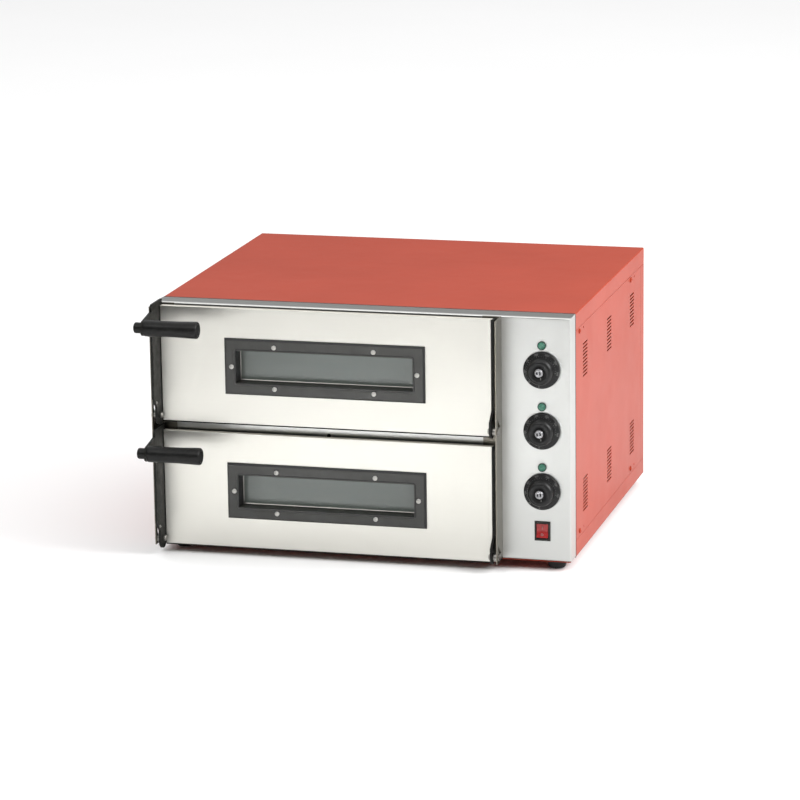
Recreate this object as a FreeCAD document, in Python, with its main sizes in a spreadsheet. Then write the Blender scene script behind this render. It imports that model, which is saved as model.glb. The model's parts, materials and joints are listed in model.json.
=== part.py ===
"""Double-deck countertop pizza oven.

Two baking chambers stand one above the other behind drop-down doors, with a control bay on
their right.  Every sub-part is drawn in the oven's own frame: X to the right from the left side
panel, Y to the rear from the front edge of the painted shell, Z up from the underside of the
base pan.  Placements then carry all of them to the part's origin, which lies under the middle of
the whole oven, in the plane that the feet stand on.
"""
import FreeCAD, Part
import Sketcher
import math
import os
import re

SIZES = {
    # painted shell
    "shell_width": 560.0, "shell_depth": 453.0, "shell_height": 327.0, "panel_sheet": 1.0,
    "seam_lip": 22.5, "seam_gap": 0.5, "strip_width": 15.0, "cover_bend": 1.6,
    # ventilation slots
    "slot_length": 28.0, "slot_height": 2.3, "slot_pitch": 4.75, "slot_count": 10.0,
    "slot_first_y": 46.0, "slot_first_z": 50.5, "slot_column_pitch": 154.5, "slot_row_pitch": 182.0,
    # steel fascia
    "fascia_depth": 28.7, "fascia_sheet": 1.2, "fascia_base": 2.0, "fascia_bend": 2.4,
    # baking chambers
    "deck_pitch": 169.0, "chamber_left": 28.0, "chamber_width": 412.0, "chamber_base": 18.0,
    "chamber_height": 122.0, "chamber_back": 372.0, "liner_sheet": 1.0,
    "ledge_width": 9.0, "stone_base": 33.0, "stone_thick": 14.0, "stone_gap": 4.0,
    "stone_front": 3.0, "stone_chamfer": 1.5,
    # heating elements
    "tube_radius": 3.3, "run_first_y": 348.0, "run_pitch": 60.0, "turn_left_x": 66.0,
    "turn_right_x": 402.0, "terminal_x": 464.0, "low_element_z": 25.0, "high_element_z": 132.5,
    "element_hole": 4.2,
    # insulation and bay divider
    "blanket_left": 8.0, "blanket_right": 451.0, "blanket_front": 20.0, "blanket_back": 397.0,
    "blanket_joint": 163.5, "divider_x": 452.0, "divider_sheet": 1.2, "divider_flange": 14.0,
    # door skin, frame and inner pan
    "door_left": 10.2, "door_width": 448.2, "door_base": 0.5, "door_height": 155.5,
    "door_face": 44.3, "skin_sheet": 1.2, "skin_edge": 0.7, "door_rear": 34.5, "frame_wall": 1.5,
    "frame_hem": 1.8, "frame_drop": 0.8, "pan_sheet": 1.0, "pan_margin": 3.0,
    "plug_left": 34.0, "plug_width": 400.0, "plug_base": 22.0, "plug_height": 107.5, "plug_rear": 4.3,
    # window
    "window_width": 240.0, "window_height": 44.0, "bezel_width": 272.0, "bezel_height": 75.5,
    "bezel_thick": 4.0, "bezel_bevel": 2.6, "sleeve_wall": 1.2, "glass_thick": 4.0,
    "glass_margin": 6.0, "glass_back": 24.0, "window_lip": 3.0, "seal_wall": 2.0,
    "screw_side_x": 126.0, "screw_rail_x": 67.5, "screw_rail_z": 27.9,
    # hinges and door arms
    "hinge_ahead": 53.0, "hinge_z": 9.5, "plate_sheet": 1.5, "plate_ahead": 61.0,
    "plate_height": 324.0, "plate_flange": 25.0, "right_plate_x": 467.1,
    "pin_radius": 3.0, "running_gap": 0.05, "pin_shoulder": 5.5, "pin_head": 4.0,
    "pin_head_length": 3.0, "rivet_height": 1.5, "arm_thick": 3.0, "arm_gap": 0.5,
    "arm_top": 163.0, "arm_ahead": 78.0, "arm_chamfer": 4.0, "arm_end_radius": 13.2,
    "waist_top": 37.0, "waist_base": 23.0, "gusset_top": 154.2, "gusset_base": 120.0,
    "right_arm_ahead": 45.0, "right_arm_top": 155.2, "end_play": 0.3,
    # grips
    "grip_ahead": 108.0, "grip_z": 138.8, "grip_radius": 11.3, "grip_length": 73.3,
    "grip_round": 2.2, "bolt_radius": 3.0, "bolt_cap_radius": 7.3, "bolt_cap_length": 11.0,
    "bolt_length": 58.0, "bolt_cap_round": 1.4,
    # controls
    "control_x": 521.9, "top_knob_z": 257.4, "knob_pitch": 81.05, "pilot_rise": 32.3,
    "skirt_radius": 24.2, "knob_radius": 17.4, "knob_standoff": 1.5, "knob_reach": 18.2,
    "spindle_radius": 3.0, "spindle_head": 5.5, "spindle_reach": 20.8,
    "bushing_radius": 5.0, "pilot_radius": 5.8, "pilot_body": 4.7,
    "thermostat_size": 32.0, "thermostat_depth": 24.0,
    "switch_z": 42.0, "switch_width": 20.8, "switch_height": 26.0, "switch_rim": 2.2,
    "switch_well_width": 16.2, "switch_well_height": 20.6, "switch_depth": 20.0,
    "switch_wall": 1.3, "rocker_pivot": 25.0, "rocker_tilt": 6.0, "rocker_half": 9.2,
    "rocker_face": 7.5, "rocker_dip": 5.6, "rocker_width": 15.4, "trunnion_radius": 1.5,
    # supply
    "gland_x": 505.0, "gland_z": 62.0, "gland_reach": 20.0, "gland_bore": 5.0, "gland_thread": 8.0,
    "gland_dome": 10.5, "block_length": 62.0, "block_depth": 20.0, "block_height": 16.0,
    # feet and fasteners
    "foot_height": 12.0, "foot_top": 13.8, "foot_base": 11.3, "foot_round": 2.4,
    "foot_inset": 24.0, "front_foot_y": -5.0, "foot_recess": 4.5, "base_tongue": 25.0,
    "screw_shank": 1.6, "screw_hole": 1.7, "screw_head": 3.15, "screw_head_height": 2.2,
    "panel_screw_head": 3.4, "panel_screw_height": 1.9, "screw_length": 6.0,
    "screw_front_y": 50.0, "screw_back_y": 385.0, "screw_low_z": 30.0, "screw_high_z": 299.0,
}

DECKS = (("lower", 0), ("upper", 1))
KNOBS = ("top", "middle", "bottom")
RUNS = 6

# Places that several sub-parts share, worked out from the sizes above.
RIGHT_SCREWS = "shell_width + panel_screw_height"
LEFT_CAP = "door_left - arm_gap - arm_thick - bolt_cap_length"
CENTRE_X = f"({RIGHT_SCREWS} + {LEFT_CAP}) / 2"
CENTRE_Y = "(shell_depth + gland_reach - grip_ahead - grip_radius) / 2"
DOOR_RIGHT = "door_left + door_width"
DOOR_TOP = "door_base + door_height"
WINDOW_X = "(door_left + door_width / 2)"
WINDOW_Z = "(door_base + door_height / 2)"
LEFT_ARM = ("door_left - arm_gap - arm_thick", "door_left - arm_gap")
RIGHT_ARM = (f"{DOOR_RIGHT} + arm_gap", f"{DOOR_RIGHT} + arm_gap + arm_thick")
CHAMBER_X = ("chamber_left", "chamber_left + chamber_width")
CHAMBER_Z = ("chamber_base", "chamber_base + chamber_height")
FASCIA_BACK = "fascia_sheet - fascia_depth"

doc = FreeCAD.newDocument("pizza_oven")
sheet = doc.addObject("Spreadsheet::Sheet", "Sizes")
nodes = []


def fill_sheet():
    """One row for each driving size: its name, then its value under that name as alias."""
    for row, (alias, value) in enumerate(SIZES.items(), start=1):
        sheet.set(f"A{row}", alias)
        sheet.set(f"B{row}", str(value))
        sheet.setAlias(f"B{row}", alias)
    doc.recompute()


# ---------------------------------------------------------------- drawing helpers

def formula(text):
    """An expression in which every size is read from the sheet."""
    return re.sub(r"[a-z_]+", lambda word: f"Sizes.{word[0]}" if word[0] in SIZES else word[0], str(text))


def value_of(text):
    """The number that an expression gives now."""
    return float(sheet.evalExpression(formula(text)))


def bind(item, path, text):
    item.setExpression(path, formula(text))


def move_to(item, x=0, y=0, z=0):
    for axis, text in zip("xyz", (x, y, z)):
        bind(item, f"Placement.Base.{axis}", text)


def seat(item, name, rise="0", x="0", y="0", z="0"):
    """Make an object a sub-part: name it and carry it from the oven's frame to the part's."""
    item.Label = name
    move_to(item, f"{x} - {CENTRE_X}", f"{y} - {CENTRE_Y}", f"{z} + foot_height + {rise}")
    nodes.append(item)


def deck_rise(deck):
    return f"{deck} * deck_pitch"


def about(middle, half):
    """The span that reaches as far to either side of its middle."""
    return f"{middle} - ({half})", f"{middle} + ({half})"


def block(name, x, y, z):
    """A box between a low and a high place on each axis."""
    item = doc.addObject("Part::Box", name)
    for axis, side, (low, high) in zip("xyz", ("Length", "Width", "Height"), (x, y, z)):
        bind(item, side, f"({high}) - ({low})")
        bind(item, f"Placement.Base.{axis}", low)
    return item


TURN_TO = {"X": FreeCAD.Rotation(FreeCAD.Vector(0, 1, 0), 90),
           "Y": FreeCAD.Rotation(FreeCAD.Vector(1, 0, 0), -90),
           "Z": FreeCAD.Rotation()}


def rod(name, axis, start, radius, length):
    """A cylinder that runs from its start along one axis."""
    item = doc.addObject("Part::Cylinder", name)
    item.Placement.Rotation = TURN_TO[axis]
    bind(item, "Radius", radius)
    bind(item, "Height", length)
    move_to(item, *start)
    return item


def group(name, items):
    item = doc.addObject("Part::Compound", name)
    item.Links = items
    return item


def fuse(name, items):
    item = doc.addObject("Part::MultiFuse", name)
    item.Shapes = items
    item.Refine = True
    return item


def cut(name, base, tools):
    """The base less tools that don't overlap one another."""
    item = doc.addObject("Part::Cut", name)
    item.Base = base
    item.Tool = tools[0] if len(tools) == 1 else group(name + "_tools", tools)
    return item


def round_edges(name, base, radius, chosen, kind="Part::Fillet"):
    """Round or chamfer the edges whose box passes the test chosen(edge box, whole box)."""
    doc.recompute()
    whole = base.Shape.BoundBox
    width = SIZES[radius]
    item = doc.addObject(kind, name)
    item.Base = base
    item.Edges = [(number, width, width) for number, edge in enumerate(base.Shape.Edges, start=1)
                  if chosen(edge.BoundBox, whole)]
    return item


def copies(name, master, places):
    """Linked copies of one master, each at (x, y, z) and turned by a rotation, as one group."""
    links = []
    for x, y, z, turn in places:
        link = doc.addObject("App::Link", name + "_copy")
        link.LinkedObject = master
        link.Placement.Rotation = turn
        move_to(link, x, y, z)
        links.append(link)
    return group(name + "_group", links)


def new_sketch(body, plane, offset="0"):
    """A sketch on one of the body's own origin planes, moved along the plane's normal."""
    sketch = body.newObject("Sketcher::SketchObject", body.Name + "_sketch")
    origin_plane = next(item for item in body.Origin.OriginFeatures if item.Role == plane)
    sketch.AttachmentSupport = [(origin_plane, "")]
    sketch.MapMode = "FlatFace"
    bind(sketch, "AttachmentOffset.Base.z", offset)
    return sketch


def fix_point(sketch, edge, end, u, v):
    """Hold a sketch point at a place given by two expressions."""
    for kind, text in (("DistanceX", u), ("DistanceY", v)):
        number = sketch.addConstraint(Sketcher.Constraint(kind, -1, 1, edge, end, value_of(text)))
        bind(sketch, f"Constraints[{number}]", text)


def add_outline(sketch, corners):
    """A closed outline of straight edges through the corners."""
    first = sketch.GeometryCount
    count = len(corners)
    ring = [FreeCAD.Vector(value_of(u), value_of(v), 0) for u, v in corners]
    for i in range(count):
        sketch.addGeometry(Part.LineSegment(ring[i], ring[(i + 1) % count]))
    for i, (u, v) in enumerate(corners):
        following = first + (i + 1) % count
        sketch.addConstraint(Sketcher.Constraint("Coincident", first + i, 2, following, 1))
        fix_point(sketch, first + i, 1, u, v)


def add_circle(sketch, u, v, radius):
    centre = FreeCAD.Vector(value_of(u), value_of(v), 0)
    edge = sketch.addGeometry(Part.Circle(centre, FreeCAD.Vector(0, 0, 1), value_of(radius)))
    fix_point(sketch, edge, 3, u, v)
    number = sketch.addConstraint(Sketcher.Constraint("Radius", edge, value_of(radius)))
    bind(sketch, f"Constraints[{number}]", radius)


def rectangle(u, v):
    return [(u[0], v[0]), (u[1], v[0]), (u[1], v[1]), (u[0], v[1])]


def padded(name, plane, outline, start, thickness, circles=()):
    """A body: an outline with round holes, padded from a start along the plane's normal."""
    body = doc.addObject("PartDesign::Body", name)
    sketch = new_sketch(body, plane, start)
    add_outline(sketch, outline)
    for circle in circles:
        add_circle(sketch, *circle)
    pad = body.newObject("PartDesign::Pad", name + "_pad")
    pad.Profile = sketch
    bind(pad, "Length", thickness)
    return body


def pocketed(body, plane, outlines=(), circles=()):
    """Cut outlines and circles right through the body along the plane's normal."""
    sketch = new_sketch(body, plane)
    for outline in outlines:
        add_outline(sketch, outline)
    for circle in circles:
        add_circle(sketch, *circle)
    pocket = body.newObject("PartDesign::Pocket", body.Name + "_pocket")
    pocket.Profile = sketch
    pocket.Type = "ThroughAll"
    pocket.Midplane = True
    return pocket


def turned(name, plane, axis, profile):
    """A body turned about a sketch axis: H_Axis runs along the plane, V_Axis up it."""
    body = doc.addObject("PartDesign::Body", name)
    sketch = new_sketch(body, plane)
    add_outline(sketch, profile)
    revolution = body.newObject("PartDesign::Revolution", name + "_turn")
    revolution.Profile = sketch
    revolution.ReferenceAxis = (sketch, [axis])
    revolution.Angle = 360
    return body


def dress(body, kind, size_name, size, chosen):
    """Fillet or chamfer a body's edges whose box passes the test chosen(edge box, whole box)."""
    doc.recompute()
    base = body.Tip
    whole = base.Shape.BoundBox
    edges = [f"Edge{number}" for number, edge in enumerate(base.Shape.Edges, start=1)
             if chosen(edge.BoundBox, whole)]
    feature = body.newObject(kind, body.Name + "_edge")
    feature.Base = (base, edges)
    bind(feature, size_name, size)
    return body


def level(a, b):
    return abs(a - b) < 0.01


# ---------------------------------------------------------------- painted shell

REAR_SCREW_X = ("40", "shell_width / 2", "shell_width - 40")


def screw_holes(name, rear_z, side_z):
    """Clearance holes through both side flanges' strips and the rear one, at one height."""
    holes = [rod(name, "X", ("-1", y, side_z), "screw_hole", "shell_width + 2")
             for y in ("screw_front_y", "screw_back_y")]
    holes += [rod(name, "Y", (x, "shell_depth - 4", rear_z), "screw_hole", "6") for x in REAR_SCREW_X]
    return holes


def folded_tray(name, z, inner_z, strip_z):
    """A plate with side and rear flanges, and backing strips inside them for the screws."""
    outer = block(name + "_outer", ("0", "shell_width"), ("0", "shell_depth"), z)
    inner = block(name + "_inner", ("panel_sheet", "shell_width - panel_sheet"),
                  ("-1", "shell_depth - panel_sheet"), inner_z)
    tray = cut(name + "_tray", outer, [inner])
    side_y = ("2", "shell_depth - panel_sheet")
    left = ("panel_sheet", "2 * panel_sheet")
    right = ("shell_width - 2 * panel_sheet", "shell_width - panel_sheet")
    rear_y = ("shell_depth - 2 * panel_sheet", "shell_depth - panel_sheet")
    strips = [block(name + "_strip", x, y, strip_z)
              for x, y in ((left, side_y), (right, side_y), ((left[0], right[1]), rear_y))]
    return fuse(name + "_folded", [tray] + strips)


def top_cover():
    low = "shell_height - seam_lip"
    folded = folded_tray("cover", (low, "shell_height"), (f"{low} - 1", "shell_height - panel_sheet"),
                         (f"{low} - strip_width", f"{low} + 4"))
    bent = round_edges("cover_bent", folded, "cover_bend",
                       lambda edge, whole: level(edge.ZMin, whole.ZMax) and not level(edge.YMax, 0))
    seat(cut("cover_drilled", bent, screw_holes("cover_hole", "screw_high_z", "screw_high_z")), "top_cover")


def base_pan():
    folded = folded_tray("base", ("0", "seam_lip"), ("panel_sheet", "seam_lip + 1"),
                         ("seam_lip - 4", "seam_lip + strip_width"))
    bent = round_edges("base_bent", folded, "cover_bend",
                       lambda edge, whole: level(edge.ZMax, whole.ZMin) and not level(edge.YMax, 0))
    tongue = block("base_tongue", ("cover_bend", "shell_width - cover_bend"), ("-base_tongue", "1"),
                   ("0", "panel_sheet"))
    whole = fuse("base_whole", [bent, tongue])
    seat(cut("base_drilled", whole, screw_holes("base_hole", "screw_low_z", "screw_low_z")), "base_pan")


def add_slots(body, plane, first_u):
    """Three columns and two rows of slot banks, patterned from a single slot."""
    slot = pocketed(body, plane, [rectangle((first_u, f"{first_u} + slot_length"),
                                            ("slot_first_z", "slot_first_z + slot_height"))])
    sketch = slot.Profile[0]
    banks = body.newObject("PartDesign::MultiTransform", body.Name + "_slots")
    banks.Originals = [slot]
    steps = []
    for axis, length, count in (("V_Axis", "slot_pitch * (slot_count - 1)", "slot_count"),
                                ("H_Axis", "slot_column_pitch * 2", "3"),
                                ("V_Axis", "slot_row_pitch", "2")):
        step = body.newObject("PartDesign::LinearPattern", body.Name + "_step")
        step.Direction = (sketch, [axis])
        bind(step, "Length", length)
        bind(step, "Occurrences", count)
        steps.append(step)
    banks.Transformations = steps
    body.Tip = banks
    return body


PANEL_Z = ("seam_lip + seam_gap", "shell_height - seam_lip - seam_gap")


def side_panel(name, start):
    outline = rectangle(("seam_gap", "shell_depth - seam_lip - seam_gap"), PANEL_Z)
    holes = [(y, z, "screw_hole") for y in ("screw_front_y", "screw_back_y")
             for z in ("screw_low_z", "screw_high_z")]
    panel = padded(name + "_sheet", "YZ_Plane", outline, start, "panel_sheet", holes)
    seat(add_slots(panel, "YZ_Plane", "slot_first_y"), name)


def rear_panel():
    """The rear sheet, folded forwards at both sides, with slots and the gland's hole."""
    near, far = "shell_depth - seam_lip", "shell_depth"
    right = "shell_width"
    fold = "panel_sheet"
    channel = [("0", near), (fold, near), (fold, f"{far} - {fold}"), (f"{right} - {fold}", f"{far} - {fold}"),
               (f"{right} - {fold}", near), (right, near), (right, far), ("0", far)]
    height = f"({PANEL_Z[1]}) - ({PANEL_Z[0]})"
    panel = padded("rear_sheet", "XY_Plane", channel, PANEL_Z[0], height)
    pocketed(panel, "XZ_Plane", circles=[(x, z, "screw_hole") for x in REAR_SCREW_X
                                         for z in ("screw_low_z", "screw_high_z")]
             + [("gland_x", "gland_z", "gland_thread + running_gap")])
    seat(add_slots(panel, "XZ_Plane", "72"), "rear_panel")


# ---------------------------------------------------------------- steel front

def front_fascia():
    """A shallow steel box, open at the rear, with two oven mouths and the control cut-outs."""
    front = "-fascia_depth"
    outer = block("fascia_outer", ("0", "shell_width"), (front, "0"), ("fascia_base", "shell_height"))
    inner = block("fascia_inner", ("fascia_sheet", "shell_width - fascia_sheet"), (FASCIA_BACK, "1"),
                  ("fascia_base + fascia_sheet", "shell_height - fascia_sheet"))
    bent = round_edges("fascia_bent", cut("fascia_box", outer, [inner]), "fascia_bend",
                       lambda edge, whole: level(edge.YMax, whole.YMin))
    through = (f"{front} - 1", f"{FASCIA_BACK} + 1")
    mouths = [block("fascia_mouth", ("chamber_left + liner_sheet", f"{CHAMBER_X[1]} - liner_sheet"), through,
                    (f"chamber_base + liner_sheet + {deck_rise(deck)}",
                     f"{CHAMBER_Z[1]} - liner_sheet + {deck_rise(deck)}")) for _, deck in DECKS]
    controls = [block("fascia_switch_hole", about("control_x", "switch_width / 2 - switch_wall"), through,
                      about("switch_z", "switch_height / 2 - switch_wall"))]
    bores = (("0", "bushing_radius + running_gap"), ("pilot_rise", "pilot_body + running_gap"))
    for number in range(len(KNOBS)):
        height = f"top_knob_z - {number} * knob_pitch"
        controls += [rod("fascia_hole", "Y", ("control_x", f"{front} - 1", f"{height} + {rise}"), radius,
                         "fascia_sheet + 2") for rise, radius in bores]
    seat(cut("fascia_cut", bent, mouths + controls), "front_fascia")


def hinge_plate(name, outer_x, inwards):
    """An angle on the fascia: its leg stands forwards beside the doors and carries their pins."""
    near, flange_face, tip = "-fascia_depth", "-fascia_depth - plate_sheet", "-plate_ahead"
    leg = f"{outer_x} + {inwards} * plate_sheet"
    edge = f"{outer_x} + {inwards} * plate_flange"
    corners = [(outer_x, near), (edge, near), (edge, flange_face), (leg, flange_face), (leg, tip),
               (outer_x, tip)]
    plate = padded(name + "_angle", "XY_Plane", corners, "fascia_base", "plate_height")
    relief = [[("1.8 - hinge_ahead", f"hinge_z + 3.6 + {deck_rise(deck)}"),
               ("14 - hinge_ahead", f"hinge_z + 3 + {deck_rise(deck)}"),
               ("-hinge_ahead - 1.6", f"hinge_z + 16.5 + {deck_rise(deck)}"),
               ("-hinge_ahead - 1.8", f"hinge_z + 9.5 + {deck_rise(deck)}")] for _, deck in DECKS]
    pocketed(plate, "YZ_Plane", relief,
             [("-hinge_ahead", f"hinge_z + {deck_rise(deck)}", "pin_radius") for _, deck in DECKS])
    seat(plate, name)


def hinge_pins():
    """Shouldered pins riveted into the plates; each door's arms turn on their inner ends."""
    shoulder = "door_left - arm_gap - arm_thick - end_play"
    journal = "door_left - arm_gap + end_play"
    tip = f"{journal} + pin_head_length"
    profile = [("-rivet_height", "0"), ("-rivet_height", "pin_shoulder - 1"), ("0", "pin_shoulder - 1"),
               ("0", "pin_radius"), ("plate_sheet", "pin_radius"), ("plate_sheet", "pin_shoulder"),
               (shoulder, "pin_shoulder"), (shoulder, "pin_radius"), (journal, "pin_radius"),
               (journal, "pin_head"), (f"{tip} - 0.8", "pin_head"), (tip, "pin_head - 0.8"), (tip, "0")]
    pin = turned("hinge_pin", "XY_Plane", "H_Axis", profile)
    half_turn = FreeCAD.Rotation(FreeCAD.Vector(0, 0, 1), 180)
    places = []
    for _, deck in DECKS:
        height = f"hinge_z + {deck_rise(deck)}"
        places.append(("0", "-hinge_ahead", height, FreeCAD.Rotation()))
        places.append(("right_plate_x + plate_sheet", "-hinge_ahead", height, half_turn))
    seat(copies("pins", pin, places), "hinge_pins")


# ---------------------------------------------------------------- baking chambers

def element_ends():
    """The rear and the front run's places, where an element passes through the chamber's wall."""
    return ["run_first_y", f"run_first_y - {RUNS - 1} * run_pitch"]


def chamber(name, deck):
    """A box open at the front, with a ledge on each side for the stone."""
    mouth = FASCIA_BACK
    outer = block(name + "_outer", CHAMBER_X, (mouth, "chamber_back"), CHAMBER_Z)
    inner = block(name + "_inner", ("chamber_left + liner_sheet", f"{CHAMBER_X[1]} - liner_sheet"),
                  (f"{mouth} - 1", "chamber_back - liner_sheet"),
                  ("chamber_base + liner_sheet", f"{CHAMBER_Z[1]} - liner_sheet"))
    ledge_y = ("stone_front + 6", "chamber_back - stone_gap - 6")
    ledge_z = ("stone_base - 1.2", "stone_base")
    left = "chamber_left + liner_sheet"
    right = f"{CHAMBER_X[1]} - liner_sheet"
    ledges = [block(name + "_ledge", (f"{left} - 0.2", f"{left} + ledge_width"), ledge_y, ledge_z),
              block(name + "_ledge", (f"{right} - ledge_width", f"{right} + 0.2"), ledge_y, ledge_z)]
    body = fuse(name + "_welded", [cut(name + "_box", outer, [inner])] + ledges)
    holes = [rod(name + "_hole", "X", (f"{right} - 1", y, z), "element_hole", "liner_sheet + 2")
             for y in element_ends() for z in ("low_element_z", "high_element_z")]
    seat(cut(name + "_drilled", body, holes), name, deck_rise(deck))


def insulation(name, z, deck):
    """A mineral-wool sleeve round one chamber, with a way through for the elements."""
    sleeve = block(name + "_outer", ("blanket_left", "blanket_right"), ("-blanket_front", "blanket_back"), z)
    core_z = [f"{edge} + {deck_rise(deck)}" for edge in CHAMBER_Z]
    core = block(name + "_core", CHAMBER_X, ("-blanket_front - 1", "chamber_back"), core_z)
    holes = [rod(name + "_hole", "X", (f"{CHAMBER_X[1]} - 1", y, f"{height} + {deck_rise(deck)}"),
                 "element_hole", "20")
             for y in element_ends() for height in ("low_element_z", "high_element_z")]
    bored = cut(name + "_bored", cut(name + "_sleeve", sleeve, [core]), holes)
    seat(bored, name)


def baking_stone(name, deck):
    side = "(liner_sheet + stone_gap)"
    outline = rectangle((f"chamber_left + {side}", f"{CHAMBER_X[1]} - {side}"),
                        ("stone_front", "chamber_back - liner_sheet - stone_gap"))
    slab = padded(name + "_slab", "XY_Plane", outline, "stone_base", "stone_thick")
    dress(slab, "PartDesign::Chamfer", "Size", "stone_chamfer",
          lambda edge, whole: level(edge.ZMin, whole.ZMax))
    seat(slab, name, deck_rise(deck))


def heating_element(name, height, deck):
    """A tubular heater that runs to and fro across the chamber, with both ends in the control bay."""
    body = doc.addObject("PartDesign::Body", name + "_tube")
    path = new_sketch(body, "XY_Plane", height)
    pitch = SIZES["run_pitch"]
    lines = []
    for run in range(RUNS):
        y = SIZES["run_first_y"] - run * pitch
        ends = ["terminal_x" if run in (0, RUNS - 1) else "turn_right_x", "turn_left_x"]
        if run % 2:
            ends.reverse()
        start, end = (FreeCAD.Vector(SIZES[alias], y, 0) for alias in ends)
        line = path.addGeometry(Part.LineSegment(start, end))
        for point, alias in ((1, ends[0]), (2, ends[1])):
            fix_point(path, line, point, alias, f"run_first_y - {run} * run_pitch")
        lines.append(line)
    for turn in range(RUNS - 1):
        at_left = turn % 2 == 0
        centre = FreeCAD.Vector(SIZES["turn_left_x" if at_left else "turn_right_x"],
                                SIZES["run_first_y"] - (turn + 0.5) * pitch, 0)
        start = math.pi / 2 if at_left else -math.pi / 2
        circle = Part.Circle(centre, FreeCAD.Vector(0, 0, 1), pitch / 2)
        arc = path.addGeometry(Part.ArcOfCircle(circle, start, start + math.pi))
        number = path.addConstraint(Sketcher.Constraint("DistanceX", -1, 1, arc, 3, centre.x))
        bind(path, f"Constraints[{number}]", "turn_left_x" if at_left else "turn_right_x")
        rear_end, front_end = (1, 2) if at_left else (2, 1)
        path.addConstraint(Sketcher.Constraint("Coincident", arc, rear_end, lines[turn], 2))
        path.addConstraint(Sketcher.Constraint("Coincident", arc, front_end, lines[turn + 1], 1))
    section = new_sketch(body, "YZ_Plane", "terminal_x")
    add_circle(section, "run_first_y", height, "tube_radius")
    pipe = body.newObject("PartDesign::AdditivePipe", name + "_sweep")
    pipe.Profile = section
    pipe.Spine = (path, [])
    seat(body, name, deck_rise(deck))


def bay_divider():
    """A folded sheet between the hot chambers and the control bay."""
    near, far = "-blanket_front", "blanket_back"
    inner, outer, edge = "divider_x", "divider_x + divider_sheet", "divider_x + divider_flange"
    near_bend, far_bend = f"{near} + divider_sheet", f"{far} - divider_sheet"
    corners = [(inner, near), (edge, near), (edge, near_bend), (outer, near_bend), (outer, far_bend),
               (edge, far_bend), (edge, far), (inner, far)]
    low = "fascia_base + fascia_sheet"
    wall = padded("divider_folded", "XY_Plane", corners, low, f"shell_height - 2 * panel_sheet - ({low})")
    holes = [(y, f"{height} + {deck_rise(deck)}", "element_hole") for y in element_ends()
             for height in ("low_element_z", "high_element_z") for _, deck in DECKS]
    pocketed(wall, "YZ_Plane", circles=holes)
    seat(wall, "bay_divider")


# ---------------------------------------------------------------- doors

GLASS_BACK = "-glass_back"
GLASS_FRONT = f"{GLASS_BACK} - glass_thick"


def window_block(name, margin, y):
    """A box across the window's opening, larger by a margin all round."""
    return block(name, about(WINDOW_X, f"window_width / 2 + {margin}"), y,
                 about(WINDOW_Z, f"window_height / 2 + {margin}"))


def window_screw_places():
    """The six screws: one at each end of the bezel and two along each rail."""
    places = [(f"{WINDOW_X} + {side} * screw_side_x", WINDOW_Z) for side in (-1, 1)]
    places += [(f"{WINDOW_X} + {side} * screw_rail_x", f"{WINDOW_Z} + {end} * screw_rail_z")
               for side in (-1, 1) for end in (-1, 1)]
    return places


def window_screw_holes(name):
    return [rod(name, "Y", (x, "-door_face - bezel_thick - 1", z), "screw_hole",
                "bezel_thick + skin_sheet + 2") for x, z in window_screw_places()]


def door_skin(deck_name, rise):
    name = deck_name + "_door_skin"
    sheet_metal = block(name + "_blank", ("door_left", DOOR_RIGHT), ("-door_face", "skin_sheet - door_face"),
                        ("door_base", DOOR_TOP))
    eased = round_edges(name + "_eased", sheet_metal, "skin_edge",
                        lambda edge, whole: level(edge.YMax, whole.YMin))
    tools = [window_block(name + "_window", "sleeve_wall", ("-door_face - 1", "2 - door_face"))]
    seat(cut(name + "_cut", eased, tools + window_screw_holes(name + "_hole")), name, rise)


def door_frame(deck_name, rise):
    """The black ring behind the skin, which the arms are welded to."""
    name = deck_name + "_door_frame"
    back, front = "-door_rear", "skin_sheet - door_face"
    left, right = "door_left - arm_gap", f"{DOOR_RIGHT} + arm_gap"
    low, high = "door_base - frame_hem", f"{DOOR_TOP} - frame_drop"
    outer = block(name + "_outer", (left, right), (front, back), (low, high))
    inner = block(name + "_inner", (f"{left} + frame_wall", f"{right} - frame_wall"),
                  (f"{front} - 1", f"{back} + 1"), (f"{low} + frame_wall", f"{high} - frame_wall"))
    seat(cut(name + "_ring", outer, [inner]), name, rise)


def inner_pan(deck_name, rise):
    """The sheet that closes the door's rear: a plug for the oven's mouth, and a lip up to the glass."""
    name = deck_name + "_inner_pan"
    low, high = "door_base + pan_margin", f"{DOOR_TOP} - pan_margin"
    flange = block(name + "_flange", ("door_left + pan_margin", f"{DOOR_RIGHT} - pan_margin"),
                   ("-door_rear", "pan_sheet - door_rear"), (low, high))
    plug_x = ("plug_left", "plug_left + plug_width")
    plug_z = ("plug_base", "plug_base + plug_height")
    plug = block(name + "_plug", plug_x, ("-door_rear", "-plug_rear"), plug_z)
    hollow = block(name + "_hollow", ("plug_left + pan_sheet", f"{plug_x[1]} - pan_sheet"),
                   ("-door_rear - 1", "-plug_rear - pan_sheet"),
                   ("plug_base + pan_sheet", f"{plug_z[1]} - pan_sheet"))
    tray = cut(name + "_tray", fuse(name + "_blank", [flange, plug]), [hollow])
    lip = window_block(name + "_lip", "window_lip + pan_sheet", (GLASS_BACK, "-plug_rear - pan_sheet / 2"))
    window = window_block(name + "_window", "window_lip", (f"{GLASS_BACK} - 1", "1 - plug_rear"))
    seat(cut(name + "_pan", fuse(name + "_lipped", [tray, lip]), [window]), name, rise)


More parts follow.
